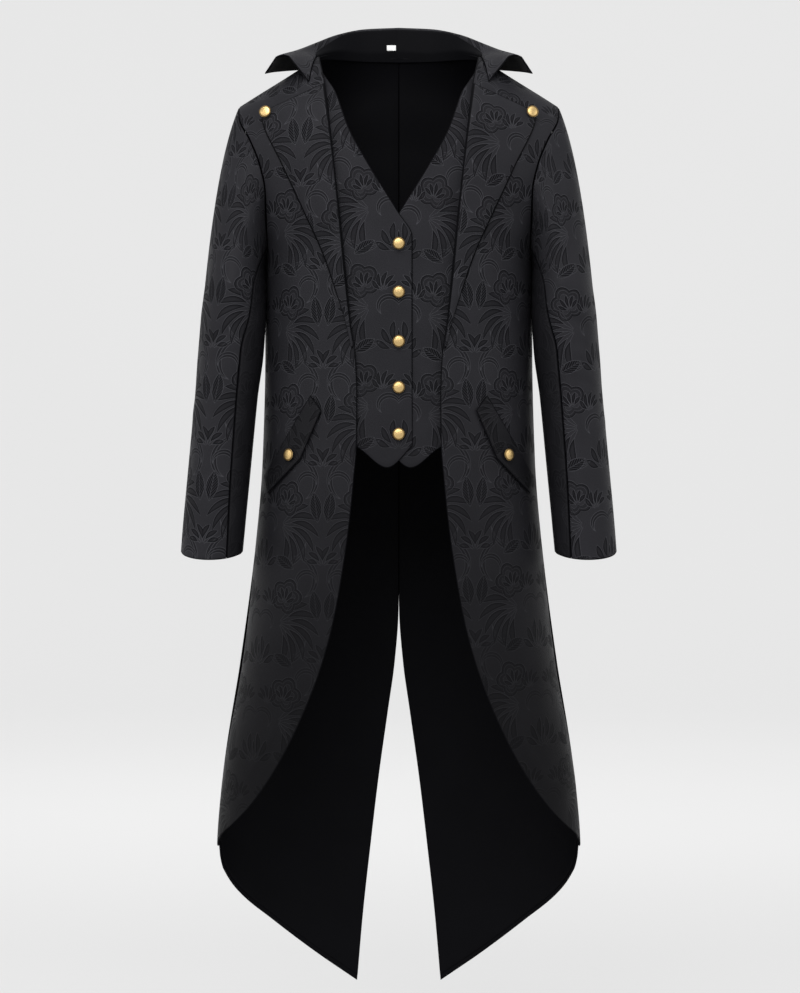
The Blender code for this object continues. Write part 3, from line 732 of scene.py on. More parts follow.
def border_of(rows, columns):
    """Places of a grid's border points, in order round it."""
    return (
        [c for c in range(columns)]
        + [r * columns + columns - 1 for r in range(1, rows)]
        + [(rows - 1) * columns + c for c in range(columns - 2, -1, -1)]
        + [r * columns for r in range(rows - 2, 0, -1)]
    )


def sew(name, outer, inner, flat, finishes, edge_round):
    """A closed wall between two grids of points, with a rounded edge and its flat lengths as a UV map. With
    two finishes, the inner face takes the lining and the rounded edge takes it too, as a painted shadow line.
    """
    rows, columns = outer.shape[:2]
    count, rim = rows * columns, np.array(border_of(rows, columns))
    middle = ((outer + inner) / 2).reshape(-1, 3)[rim]
    draw_in(outer, edge_round)
    draw_in(inner, edge_round)
    vertices = np.concatenate([outer.reshape(-1, 3), inner.reshape(-1, 3), middle]) * MM
    flat = flat.reshape(-1, 2)
    flat = np.concatenate([flat, flat, flat[rim]]) * MM
    first = (np.arange(rows - 1)[:, None] * columns + np.arange(columns - 1)).ravel()
    cell = np.stack([first, first + 1, first + columns + 1, first + columns], -1)
    ring = 2 * count + np.arange(len(rim))
    to_outer = np.stack([np.roll(rim, -1), rim, ring, np.roll(ring, -1)], -1)
    to_inner = np.stack([ring, rim + count, np.roll(rim, -1) + count, np.roll(ring, -1)], -1)
    faces = np.concatenate([cell, cell[:, ::-1] + count, to_outer, to_inner])
    mesh = bpy.data.meshes.new(name)
    mesh.from_pydata(vertices.tolist(), [], faces.tolist())
    for finish in finishes:
        mesh.materials.append(finish)
    # Painted shadow: the inner face takes the lining, and the rounded edge takes it too, as a dark line along
    # each edge and fold
    dark = np.zeros(len(faces), np.int32)
    dark[len(cell) if len(finishes) > 1 else 2 * len(cell) :] = len(finishes) - 1
    mesh.polygons.foreach_set("material_index", dark)
    loops = np.zeros(len(mesh.loops), np.int32)
    mesh.loops.foreach_get("vertex_index", loops)
    mesh.uv_layers.new(name="Cut").data.foreach_set("uv", flat[loops].ravel())
    shaped = bmesh.new()
    shaped.from_mesh(mesh)
    bmesh.ops.recalc_face_normals(shaped, faces=shaped.faces)
    shaped.to_mesh(mesh)
    shaped.free()
    mesh.shade_smooth()
    piece = bpy.data.objects.new(name, mesh)
    bpy.context.scene.collection.objects.link(piece)
    return piece


def cloth(
    node, face, columns, rows, thick, finishes,
    side=1, lift=0.0, inside=(0, 0, -500), trim=(1, 1), flat=None, crease=None, shift=(0, 0),
    edge_round=EDGE_ROUND,
):
    """The fine wall of one cloth node, in place of its hidden solid.

    columns and rows are the shares at which the face is read. lift moves it out, trim takes half a seam gap
    off each column end, flat gives cloth lengths, crease the creases' depths, and shift moves the pattern.
    """
    across, down = np.meshgrid(columns, rows)
    width = np.linalg.norm(face(across[:, -1], down[:, -1]) - face(across[:, 0], down[:, 0]), axis=-1)
    taken = (columns[-1] - columns[0]) * (SEAM_GAP / 2 / np.maximum(width, 1))[:, None]
    share = (across - columns[0]) / (columns[-1] - columns[0])
    across = across + taken * (trim[0] * (1 - share) - trim[1] * share)
    place = face(across, down)
    lengths = (flat or flat_on_body)(place)
    normal = grid_normals(place, inside)
    if callable(lift):
        lift = lift(across, down)[..., None]
    if crease:
        lift = lift + crease(across, down, place)[..., None]
    mirror = np.array((side, 1, 1))
    outer, inner = (place + normal * lift) * mirror, (place + normal * (lift - thick)) * mirror
    lengths = lengths * (side, 1) + np.array(shift)
    piece = sew(node + "_cloth", outer, inner, lengths, finishes, edge_round)
    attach(piece, "root")
    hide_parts(node)
    declare(node)
    return piece


def declare(node):
    """Reads what the sheet was cut to and what it is sewn to from CUTS, but keeps none of it."""
    kind = node.removesuffix("_left").removesuffix("_right")
    width, length, area, carrier = CUTS[kind]
    side = "" if carrier == "collar" or kind == "collar" else node.removeprefix(kind)
    if kind == "collar":
        side = "_left"
    carrier + side + "_cloth"
    "lining" if kind in ("lining", "neck_facing") else "jacquard"


# ---- Shader formulas ----


class Field:
    """A number that changes over the surface, so that a shader's formulas read as formulas."""

    def __init__(self, tree, socket):
        self.tree, self.socket = tree, socket

    def math(self, operation, *others):
        node = add_node(self.tree, "ShaderNodeMath", operation=operation)
        for place, value in enumerate((self, *others)):
            if isinstance(value, Field):
                self.tree.links.new(value.socket, node.inputs[place])
            else:
                node.inputs[place].default_value = value
        return Field(self.tree, node.outputs[0])

    def __add__(self, other):
        return self.math("ADD", other)

    def __sub__(self, other):
        return self.math("SUBTRACT", other)

    def __mul__(self, other):
        return self.math("MULTIPLY", other)

    def __truediv__(self, other):
        return self.math("DIVIDE", other)

    def __abs__(self):
        return self.math("ABSOLUTE")

    __radd__, __rmul__ = __add__, __mul__

    def __rsub__(self, other):
        return self * -1 + other

    def fades(self, full, none):
        """1 where this is at `full` or past it, and 0 at `none`, smooth between."""
        node = add_node(self.tree, "ShaderNodeMapRange", interpolation_type="SMOOTHSTEP")
        self.tree.links.new(self.socket, node.inputs["Value"])
        low, high = min(full, none), max(full, none)
        ends = (low, high, float(low == full), float(high == full))
        for name, value in zip(("From Min", "From Max", "To Min", "To Max"), ends):
            node.inputs[name].default_value = value
        return Field(self.tree, node.outputs["Result"])


def add_node(tree, kind, **values):
    """A node, set out in rows in the order of making."""
    node = tree.nodes.new(kind)
    place = len(tree.nodes)
    node.location = (190 * (place % 24), -180 * (place // 24))
    for name, value in values.items():
        setattr(node, name, value)
    return node


def hypot(x, y):
    return (x * x + y * y).math("SQRT")


def least(a, b):
    return a.math("MINIMUM", b)


def most(a, b):
    return a.math("MAXIMUM", b)


def turned(x, y, degrees):
    """The lengths along and across a line at this angle."""
    cosine, sine = math.cos(math.radians(degrees)), math.sin(math.radians(degrees))
    return x * cosine + y * sine, y * cosine - x * sine


def outline(distance, width=0.55):
    """A fine raised line where a motif's edge runs, which is painted lighter as its highlight."""
    return abs(distance).fades(0, width)


def shaded(distance, inside):
    """A motif's body: a dark band along its edge, paler inside. The band is the pattern and painted shade
    beside the raised line.
    """
    # Painted shade: the body is darkest along its edge, beside the raised line
    return inside * (distance.fades(-0.3, -4.0) * 0.6 + 0.4)


def petals(x, y, heading, count, step, inner, outer, width, bend):
    """A fan of curved petals: their body, and their edges with the fine stalks that run to the fan's foot.

    heading and step are degrees, and bend how far the tips lean over, in degrees.
    """
    reach = hypot(x, y)
    angle = y.math("ARCTAN2", x) - math.radians(heading)
    angle = angle.math("WRAP", math.pi, -math.pi) - reach * reach * (math.radians(bend) / outer**2)
    step = math.radians(step)
    half = (count - 1) / 2
    number = (angle / step + half).math("ROUND")
    number = least(most(number, 0), count - 1) - half
    share = (reach - inner) / ((number * number * (-0.18 / half**2) + 1) * outer - inner)
    body_width = most(share * (1 - share) * (share * 2 + 1), 0) * (2 * width)
    distance = abs(angle - number * step) * reach - body_width + most(share - 1, 0) * 40
    inside = least(distance.fades(-0.5, 0.1), share.fades(0.05, 0))
    shown = reach.fades(4, 2.5)
    return shaded(distance, inside), outline(distance) * shown


def leaf(x, y, heading, length, width, veins):
    """A pointed leaf from its foot: its body, and its edge, midrib and slanted veins."""
    along, away = turned(x, y, heading)
    share = along / length
    away = abs(away)
    distance = away - most(share * (1 - share), -1) * (4 * width)
    inside = distance.fades(-0.4, 0.1)
    vein = ((along - away * 1.5) * (veins / length)).math("FRACT") - 0.5
    lines = most(abs(vein).fades(0, 0.16), away.fades(0, 0.6)) * inside
    return inside, most(outline(distance), lines * 0.8)


def bloom(x, y, heading, size):
    """A scalloped flower head of nested lines, with a fan of petals at its heart."""
    reach = hypot(x, y)
    angle = y.math("ARCTAN2", x) - math.radians(heading)
    lobes = abs((angle * 2.5).math("COSINE")) * (0.24 * size)
    distance = reach - lobes - 0.76 * size
    inside = distance.fades(-0.4, 0.1)
    middle = (distance + 0.42 * size).fades(-0.4, 0.1)
    along, away = turned(x, y, heading)
    heart_body, heart_line = petals(
        along + 0.42 * size, away, 0, 5, 26, 0.14 * size, 0.92 * size, 0.105 * size, 10
    )
    rings = most(outline(distance), outline(distance + 0.2 * size))
    body = most(shaded(distance, inside) * (1 - middle), heart_body)
    return body, most(most(rings, outline(distance + 0.42 * size)) * (1 - heart_body), heart_line)


def crescent(x, y, heading, radius, sweep, width):
    """A tapering arc round its foot, which opens outwards: its body, and its edges and middle line."""
    reach = hypot(x, y)
    angle = (y.math("ARCTAN2", x) - math.radians(heading)).math("WRAP", math.pi, -math.pi)
    share = angle / math.radians(sweep) + 0.5
    offset = abs(reach - (share * 0.4 + 0.8) * radius)
    distance = offset - share * (1 - share) * (4 * width)
    inside = distance.fades(-0.4, 0.1)
    return shaded(distance, inside) * 0.7, most(outline(distance), outline(offset) * inside)


def new_group(name, inputs, outputs):
    """A shader node group with these float or vector sockets, and its input and output nodes."""
    group = bpy.data.node_groups.new(name, "ShaderNodeTree")
    for direction, sockets in (("INPUT", inputs), ("OUTPUT", outputs)):
        for label, kind, value in sockets:
            socket = group.interface.new_socket(label, in_out=direction, socket_type="NodeSocket" + kind)
            if value is not None:
                socket.default_value = value
    return group, add_node(group, "NodeGroupInput"), add_node(group, "NodeGroupOutput")


# The repeat's own tile, in mm: mirrored about both of its sides
TILE_HALF = 105.0
TILE_HEIGHT = 134.0

# The flowers of half a repeat, from the back to the front, each as (foot x, foot y, shape)
MOTIFS = (
    (66, 118, lambda a, b: crescent(a, b, 20, 30, 150, 4.2)),
    (84, 118, lambda a, b: crescent(a, b, 105, 15, 215, 3.6)),
    (15, 62, lambda a, b: crescent(a, b, 75, 15, 230, 3.8)),
    (40, 40, lambda a, b: crescent(a, b, -62, 34, 120, 3.6)),
    (40, 62, lambda a, b: petals(a, b, -6, 7, 19, 15, 64, 5.0, -30)),
    (51, 99, lambda a, b: bloom(a, b, 66, 25)),
    (0, 4, lambda a, b: petals(a, b, 90, 7, 26, 11, 42, 4.6, 18)),
    (20, 84, lambda a, b: petals(a, b, 76, 5, 24, 6, 28, 3.2, 24)),
    (98, 66, lambda a, b: leaf(a, b, 98, 42, 8.5, 9)),
    (62, 2, lambda a, b: leaf(a, b, 148, 34, 7.5, 7)),
    (105, 6, lambda a, b: petals(a, b, 90, 5, 30, 7, 30, 3.8, 20)),
)
RAISED = (4, 5, 6)  # places of the raised motifs: the fan, the flower and the palmette


def flower_group():
    """The flower repeat from flat lengths in metres: the motifs, their lines and the relief of some."""
    group, given, wanted = new_group(
        "Flower repeat",
        [("Cloth", "Vector", None), ("Repeat Width", "Float", 0.21), ("Repeat Height", "Float", 0.134)],
        [("Motif", "Float", None), ("Line", "Float", None), ("Relief", "Float", None)],
    )
    lengths = add_node(group, "ShaderNodeSeparateXYZ")
    group.links.new(given.outputs["Cloth"], lengths.inputs[0])
    across, up = Field(group, lengths.outputs["X"]), Field(group, lengths.outputs["Y"])
    width, height = Field(group, given.outputs["Repeat Width"]), Field(group, given.outputs["Repeat Height"])
    x = (across / width * (2 * TILE_HALF)).math("PINGPONG", TILE_HALF)
    y = up / height * TILE_HEIGHT
    body_mask, line_mask, relief = x * 0, x * 0, x * 0
    for number, (foot_x, foot_y, shape) in enumerate(MOTIFS):
        near = (y - foot_y).math("WRAP", TILE_HEIGHT / 2, -TILE_HEIGHT / 2)
        inside, lines = shape(x - foot_x, near)
        bare = 1 - most(inside, lines)
        body_mask = most(body_mask * bare, inside)
        line_mask = most(line_mask * bare, lines)
        if number in RAISED:
            relief = most(relief * bare, lines + inside * 0.66)
    group.links.new(relief.socket, wanted.inputs["Relief"])
    group.links.new(body_mask.socket, wanted.inputs["Motif"])
    group.links.new(line_mask.socket, wanted.inputs["Line"])
    return group


def weave_group():
    """The yarns of a cloth: fine slanted ribs, unevenness of the yarns, and slow clouds, each from 0 to 1."""
    group, given, wanted = new_group(
        "Weave",
        [("Cloth", "Vector", None), ("Rib Width", "Float", 0.0011)],
        [("Rib", "Float", None), ("Yarn", "Float", None), ("Cloud", "Float", None)],
    )
    lengths = add_node(group, "ShaderNodeSeparateXYZ")
    group.links.new(given.outputs["Cloth"], lengths.inputs[0])
    across, up = Field(group, lengths.outputs["X"]), Field(group, lengths.outputs["Y"])
    width = Field(group, given.outputs["Rib Width"])
    rib = abs(((across + up * 0.5) / width).math("FRACT") - 0.5) * 2
    group.links.new(rib.socket, wanted.inputs["Rib"])
    for label, scale, detail in (("Yarn", 620.0, 3.0), ("Cloud", 17.0, 2.0)):
        noise = add_node(group, "ShaderNodeTexNoise")
        noise.inputs["Scale"].default_value, noise.inputs["Detail"].default_value = scale, detail
        group.links.new(given.outputs["Cloth"], noise.inputs["Vector"])
        group.links.new(noise.outputs["Fac"], wanted.inputs[label])
    return group


# ---- Materials ----


def finish_of(name, **constants):
    """A Principled material whose constant values are set on the shader's own sockets."""
    made = bpy.data.materials.new(name)
    made.use_nodes = True
    shader = made.node_tree.nodes["Principled BSDF"]
    for label, value in constants.items():
        label = "specular_IOR_level" if label == "specular_level" else label
        shader.inputs[label.replace("_", " ").title().replace("Ior", "IOR")].default_value = value
    return made, made.node_tree, shader


def use_group(tree, group, vector, **values):
    """A node that uses a group on these lengths, as a function from an output's name to its Field."""
    node = add_node(tree, "ShaderNodeGroup", node_tree=group)
    tree.links.new(vector, node.inputs["Cloth"])
    for label, value in values.items():
        node.inputs[label.replace("_", " ").title()].default_value = value
    return lambda label: Field(tree, node.outputs[label])


def blend_colors(tree, share, low, high, kind="MIX"):
    """The colour socket of two colours (values or sockets) mixed by a Field or number."""
    node = add_node(tree, "ShaderNodeMix", data_type="RGBA", blend_type=kind)
    for place, value in ((0, share), (6, low), (7, high)):
        if isinstance(value, Field):
            tree.links.new(value.socket, node.inputs[place])
        elif isinstance(value, bpy.types.NodeSocket):
            tree.links.new(value, node.inputs[place])
        elif place == 0:
            node.inputs[place].default_value = value
        else:
            node.inputs[place].default_value = (*value, 1)
    return node.outputs[2]


def raise_surface(tree, shader, height, distance):
    """Bumps the surface by this Field, which is 1 at `distance` metres."""
    bump = add_node(tree, "ShaderNodeBump")
    bump.inputs["Strength"].default_value = 1.0
    bump.inputs["Distance"].default_value = distance
    tree.links.new(height.socket, bump.inputs["Height"])
    tree.links.new(bump.outputs["Normal"], shader.inputs["Normal"])


def jacquard(name, clearness, painted_light_share=1.0):
    """Tone-on-tone satin: shiny ground and duller flowers with fine lines, with painted shade that darkens
    the cloth and dims its flowers towards the hem, as if lit from above.

    clearness is how much the flowers show, and the last share how light the cloth is painted: below 1 the
    whole piece is painted in shade.
    """
    look = bpy.context.scene.tailcoat_cloth
    finish, tree, shader = finish_of(name, specular_level=0.05)
    cut = add_node(tree, "ShaderNodeUVMap", uv_map="Cut").outputs["UV"]
    sizes = {"repeat_width": look.repeat_width, "repeat_height": look.repeat_height}
    flowers = use_group(tree, bpy.data.node_groups["Flower repeat"], cut, **sizes)
    yarns = use_group(tree, bpy.data.node_groups["Weave"], cut)
    lengths = add_node(tree, "ShaderNodeSeparateXYZ")
    tree.links.new(cut, lengths.inputs[0])
    # Painted shade: 1 at the top and 0 near the hem, darkening the cloth and dimming its flowers lower down
    # as if the light fell from above
    painted_top_light = Field(tree, lengths.outputs["Y"]).fades(0.0, -0.75)
    shown = (painted_top_light * 0.45 + 0.55) * clearness
    motif, line = flowers("Motif") * shown, flowers("Line") * shown
    color = blend_colors(tree, motif, look.ground, look.motif)
    # Painted highlight: the pattern's lines take the lighter line colour
    color = blend_colors(tree, line, color, look.line)
    tone = yarns("Cloud") * 0.4 + yarns("Yarn") * 0.5 + yarns("Rib") * 0.1 + 0.5
    # Painted shade over the whole piece as well, where the last share is below 1
    tone = tone * (painted_top_light * 0.68 + 0.32) * painted_light_share
    tree.links.new(blend_colors(tree, 1.0, color, tone, "MULTIPLY"), shader.inputs["Base Color"])
    roughness = motif * 0.3 + yarns("Yarn") * 0.14 + 0.36
    tree.links.new(roughness.socket, shader.inputs["Roughness"])
    height = flowers("Relief") * shown * 0.6 + yarns("Rib") * 0.12 + yarns("Yarn") * 0.2
    raise_surface(tree, shader, height, look.relief)
    return finish


def plain_cloth(name, color, roughness, gloss, rib_width, relief, mapped=True):
    """Plain woven cloth of one colour with fine ribs and uneven yarns, on its flat map or else in space."""
    finish, tree, shader = finish_of(name, specular_level=gloss)
    if mapped:
        cut = add_node(tree, "ShaderNodeUVMap", uv_map="Cut").outputs["UV"]
    else:
        cut = add_node(tree, "ShaderNodeTexCoord").outputs["Object"]
    yarns = use_group(tree, bpy.data.node_groups["Weave"], cut, rib_width=rib_width)
    tone = yarns("Cloud") * 0.4 + yarns("Yarn") * 0.5 + yarns("Rib") * 0.2 + 0.45
    tree.links.new(blend_colors(tree, 1.0, color, tone, "MULTIPLY"), shader.inputs["Base Color"])
    tree.links.new((yarns("Yarn") * 0.2 + roughness).socket, shader.inputs["Roughness"])
    raise_surface(tree, shader, yarns("Rib") * 0.5 + yarns("Yarn") * 0.5, relief)
    return finish


def brass():
    """Antique brass: brushed dome, with dark patina in the groove beside the rim."""
    look = bpy.context.scene.tailcoat_buttons
    finish, tree, shader = finish_of("Antique brass", metallic=1.0)
    cut = add_node(tree, "ShaderNodeUVMap", uv_map="Cut").outputs["UV"]
    lengths = add_node(tree, "ShaderNodeSeparateXYZ")
    tree.links.new(cut, lengths.inputs[0])
    x, y = Field(tree, lengths.outputs["X"]), Field(tree, lengths.outputs["Y"])
    share = hypot(x, y) / (look.diameter / 2)
    groove = abs(share - GROOVE_AT).fades(0.02, 0.13)
    brushed = add_node(tree, "ShaderNodeTexNoise")
    brushed.inputs["Scale"].default_value, brushed.inputs["Detail"].default_value = 1.0, 3.0
    stretched = add_node(tree, "ShaderNodeVectorMath", operation="MULTIPLY")
    stretched.inputs[1].default_value = (240, 2600, 1)
    tree.links.new(cut, stretched.inputs[0])
    tree.links.new(stretched.outputs[0], brushed.inputs["Vector"])
    grain = Field(tree, brushed.outputs["Fac"])
    worn = grain * 0.9 + groove * 0.95 - 0.3
    worn = least(most(worn, 0), 1)
    tree.links.new(blend_colors(tree, worn, look.metal, look.patina), shader.inputs["Base Color"])
    tree.links.new((grain * 0.25 + groove * 0.2 + 0.22).socket, shader.inputs["Roughness"])
    raise_surface(tree, shader, grain, 0.00012)
    return finish


def studio_paint():
    """Matt pale sheet, lit from behind too so that it looks even, with faint clouds."""
    look = bpy.context.scene.tailcoat_stage
    finish, tree, shader = finish_of("Studio paint", specular_level=0.1, emission_strength=look.glow)
    finish.cycles.emission_sampling = "NONE"
    shader.inputs["Emission Color"].default_value = (1, 1, 1, 1)
    noise = add_node(tree, "ShaderNodeTexNoise")
    noise.inputs["Scale"].default_value = 0.8
    tree.links.new(add_node(tree, "ShaderNodeTexCoord").outputs["Object"], noise.inputs["Vector"])
    cloud = Field(tree, noise.outputs["Fac"])
    tone = cloud * 0.1 + 0.95
    tree.links.new(blend_colors(tree, 1.0, look.backdrop, tone, "MULTIPLY"), shader.inputs["Base Color"])
    tree.links.new((cloud * 0.1 + 0.8).socket, shader.inputs["Roughness"])
    return finish


def material_named(name):
    """One of the coat's materials, made at its first use."""
    if name in bpy.data.materials:
        return bpy.data.materials[name]
    if "Weave" not in bpy.data.node_groups:
        flower_group()
        weave_group()
    look = bpy.context.scene.tailcoat_cloth
    makers = {
        "Jacquard": lambda: jacquard(name, 1.0),
        # Under sleeves: the same jacquard painted darker with fainter flowers, as painted shade on the side
        # towards the body
        "Under sleeve jacquard in painted shade": lambda: jacquard(name, 0.4, 0.6),
        # Flaps: the same jacquard painted darker with fainter flowers, as painted shade
        "Flap jacquard": lambda: jacquard(name, 0.8, 0.62),
        "Black lining": lambda: plain_cloth(name, look.lining, 0.55, 0.045, 0.0008, 0.00005),
        "White tab weave": lambda: plain_cloth(name, look.tab, 0.7, 0.3, 0.0006, 0.00008),
        "Sewing thread": lambda: plain_cloth(name, look.thread, 0.5, 0.3, 0.0004, 0.00008, mapped=False),
        "Antique brass": brass,
        "Studio paint": studio_paint,
    }
    return makers[name]()


def lined_with_edge_shade(name):
    """This finish on the outside, and black lining on the inside, and along the edges as a painted shadow
    line.
    """
    return [material_named(name), material_named("Black lining")]


# ---- Settings ----


def color_field(name, value, about):
    return FloatVectorProperty(
        name=name, description=about, subtype="COLOR", size=3, default=value, min=0.0, max=1.0
    )


def length_field(name, value, about):
    return FloatProperty(
        name=name, description=about, default=value, min=0.0, subtype="DISTANCE", unit="LENGTH"
    )


def power_field(name, value, about):
    return FloatProperty(name=name, description=about, default=value, unit="POWER")


class ClothSettings(bpy.types.PropertyGroup):
    ground: color_field("Ground", (0.0165, 0.0163, 0.0190), "Satin ground of the jacquard")
    motif: color_field("Motif", (0.0036, 0.0036, 0.0046), "Dull flowers of the jacquard")
    # Painted highlight: the pattern's lines are painted lighter than the ground, as the sheen on their raised
    # ridges
    line: color_field("Line", (0.046, 0.046, 0.052), "Raised lines round the flowers")
    lining: color_field("Lining", (0.0024, 0.0024, 0.0032), "Plain black lining")
    thread: color_field("Thread", (0.008, 0.008, 0.009), "Sewing thread")
    tab: color_field("Tab", (0.75, 0.75, 0.74), "Blank size tab")
    repeat_width: length_field("Repeat Width", 0.21, "Width of the flower repeat")
    repeat_height: length_field("Repeat Height", 0.134, "Height of the flower repeat")
    relief: length_field("Relief", 0.0006, "Height of the raised flowers in the shading")


class ButtonSettings(bpy.types.PropertyGroup):
    diameter: length_field("Diameter", 0.018, "Width of a button")
    height: length_field("Height", 0.0055, "Height of a button's dome")
    metal: color_field("Metal", (0.68, 0.48, 0.21), "Rubbed brass")
    patina: color_field("Patina", (0.16, 0.10, 0.038), "Dark brass in the grain and groove")


class StageSettings(bpy.types.PropertyGroup):
    distance: length_field("Camera Distance", 4.0, "From the coat's centre to the camera")
    focal_length: FloatProperty(name="Focal Length", description="In millimetres", default=103.58, min=1.0)
    floor_drop: length_field("Floor Drop", 1.46, "From the shoulders down to the floor")
    backdrop: color_field("Backdrop", (0.16, 0.16, 0.16), "Studio sheet, as it answers to the lamps")
    glow: FloatProperty(name="Glow", description="Light through the studio sheet from behind", default=0.615)
    front_light: power_field("Front Light", 150, "Front light's power")
    side_light: power_field("Side Light", 35, "Each side light's power")
    top_light: power_field("Top Light", 70, "Top light's power")
    wall_light: power_field("Wall Light", 150, "Backdrop light's power")
    air_light: FloatProperty(name="Air Light", description="Light from all round", default=0.5)


# ---- Operators ----


def both_sides(make):
    for name, side in SIDES:
        make("_" + name, side)


def front_crease(side):
    return lambda across, down, place: crease_depth(FRONT_CREASES, np.abs(place[..., 0]), place[..., 2], side)


def back_crease(side):
    return lambda across, down, place: crease_depth(BACK_CREASES, np.abs(place[..., 0]), place[..., 2], side)


def panel_rows(count, below):
    bent = np.linspace(RIDGE_START * YOKE, YOKE, count)
    return np.concatenate([bent, np.linspace(YOKE, 1, below + 1)[1:]])


class TAILCOAT_OT_fronts(bpy.types.Operator):
    """Fronts, from the shoulder to the cutaway edge, with their creases"""

    bl_idname = "tailcoat.fronts"
    bl_label = "Fronts"
    bl_options = {"REGISTER", "UNDO"}

    def execute(self, context):
        finishes = lined_with_edge_shade("Jacquard")
        both_sides(lambda name, side: cloth(
            "front" + name, FRONT, shares(48), panel_rows(30, 130), COAT_WALL, finishes,
            side=side, crease=front_crease(side), shift=(0.0, 22.0 if side < 0 else 0.0), trim=(1, 0),
        ))
        return {"FINISHED"}


class TAILCOAT_OT_backs(bpy.types.Operator):
    """Backs with their tails, and the black lining inside them"""

    bl_idname = "tailcoat.backs"
    bl_label = "Backs and Lining"
    bl_options = {"REGISTER", "UNDO"}

    def execute(self, context):
        finishes = lined_with_edge_shade("Jacquard")

        def flat(place):
            return flat_on_body(place, back=True)

        def make(name, side):
            cloth(
                "back" + name, BACK, shares(48), panel_rows(30, 150), COAT_WALL, finishes,
                side=side, flat=flat, crease=back_crease(side), trim=(0, 0),
            )
            cloth(
                "lining" + name, BACK, np.linspace(0, 0.992, 49), panel_rows(30, 150)[2:-1], LINING_WALL,
                finishes[1:], side=side, lift=-COAT_WALL - LAYER_GAP, flat=flat, crease=back_crease(side),
                trim=(0, 0),
            )

        both_sides(make)
        return {"FINISHED"}


class TAILCOAT_OT_sleeves(bpy.types.Operator):
    """Top sleeves and under sleeves"""

    bl_idname = "tailcoat.sleeves"
    bl_label = "Sleeves"
    bl_options = {"REGISTER", "UNDO"}

    def execute(self, context):
        rows, middle = shares(100), (230, -20, -300)

        def make(name, side):
            def crease(across, down, place):
                front, back = seam_angles(down)
                around = np.where(across < 0.5, front, back) * (1 - 2 * across)
                return crease_depth(SLEEVE_CREASES, np.degrees(around), place[..., 2], side)

            cloth(
                "sleeve_top" + name, top_sleeve_face, shares(60), rows, COAT_WALL,
                lined_with_edge_shade("Jacquard"), side=side, inside=middle, crease=crease,
                flat=lambda place: flat_by_length(place, 30, 100), shift=(40.0, 15.0 * side),
            )
            # The under sleeves wear a darker copy of the jacquard, as painted shade
            cloth(
                "sleeve_under" + name, under_sleeve_face, shares(20), rows, COAT_WALL,
                lined_with_edge_shade("Under sleeve jacquard in painted shade"), side=side, inside=middle,
                flat=lambda place: flat_by_length(place, 10, 100),
            )

        both_sides(make)
        return {"FINISHED"}


class TAILCOAT_OT_lapels(bpy.types.Operator):
    """Lapels folded back over the fronts, slightly crowned"""

    bl_idname = "tailcoat.lapels"
    bl_label = "Lapels"
    bl_options = {"REGISTER", "UNDO"}

    def execute(self, context):
        def lift(across, down):
            crown = np.sin(math.pi * np.clip(across, 0, 1)) * np.clip(down / 0.1, 0, 1)
            return COAT_WALL + FRONT_LAYER_GAP + CROWN * crown * np.clip((1 - down) / 0.2, 0, 1)

        columns = np.concatenate([[0], np.linspace(0.12, 0.88, 21), [1]])
        both_sides(lambda name, side: cloth(
            "lapel" + name, lapel_face, columns, shares(60), COAT_WALL,
            lined_with_edge_shade("Jacquard"), side=side, lift=lift,
            crease=front_crease(side), shift=(30.0, 40.0 if side < 0 else 34.0), edge_round=LAPEL_EDGE,
        ))
        return {"FINISHED"}


class TAILCOAT_OT_waistcoat(bpy.types.Operator):
    """Waistcoat fronts, the right one over the left"""

    bl_idname = "tailcoat.waistcoat"
    bl_label = "Waistcoat Fronts"
    bl_options = {"REGISTER", "UNDO"}

    def execute(self, context):
        finishes = lined_with_edge_shade("Jacquard")
        both_sides(lambda name, side: cloth(
            "waistcoat" + name, waistcoat_face, shares(24), shares(80), WAISTCOAT_WALL, finishes,
            side=side, lift=-WAISTCOAT_DEPTH - (OVERLAP_DEPTH if side > 0 else 0), shift=(0.0, 6.0 * side),
        ))
        return {"FINISHED"}


class TAILCOAT_OT_flaps(bpy.types.Operator):
    """Slanted pocket flaps"""

    bl_idname = "tailcoat.flaps"
    bl_label = "Pocket Flaps"
    bl_options = {"REGISTER", "UNDO"}

    def execute(self, context):
        # The flaps wear a darker copy of the jacquard, as painted shade
        finishes = lined_with_edge_shade("Flap jacquard")
        columns = np.concatenate([mix(0, FLAP_CORNER_AT, shares(14)), mix(FLAP_CORNER_AT, 1, shares(14))[1:]])
        both_sides(lambda name, side: cloth(
            "flap" + name, flap_face, columns, shares(12), COAT_WALL, finishes,
            side=side, lift=lambda across, down: COAT_WALL + FRONT_LAYER_GAP + FLAP_LIFT * down**2,
            crease=front_crease(side), shift=(25.0, 0.0),
        ))
        return {"FINISHED"}


class TAILCOAT_OT_collar(bpy.types.Operator):
    """Turned-down collar, and the black facing inside its stand"""

    bl_idname = "tailcoat.collar"
    bl_label = "Collar and Neck Facing"
    bl_options = {"REGISTER", "UNDO"}

    def execute(self, context):
        inside = (0, 130, 0)
        cloth(
            "collar", collar_face, np.linspace(-1, 1, 161), shares(40), COLLAR_WALL, lined_with_edge_shade("Jacquard"),
            inside=inside, trim=(0, 0), flat=lambda place: flat_by_length(place, 80, 40),
        )
        cloth(
            "neck_facing", facing_face, np.linspace(-1, 1, 61), np.linspace(-1, 1, 19), LINING_WALL,
            [material_named("Black lining")], inside=inside, lift=LINING_WALL + FACING_LIFT, trim=(0, 0),
            flat=lambda place: flat_by_length(place, 30, 18),
        )
        return {"FINISHED"}


def write_flat_map(mesh):
    """A UV map in metres from the mesh's own x and y."""
    layer = mesh.uv_layers.get("Cut") or mesh.uv_layers.new(name="Cut")
    for loop in mesh.loops:
        layer.data[loop.index].uv = mesh.vertices[loop.vertex_index].co.xy
    mesh.uv_layers.active = layer


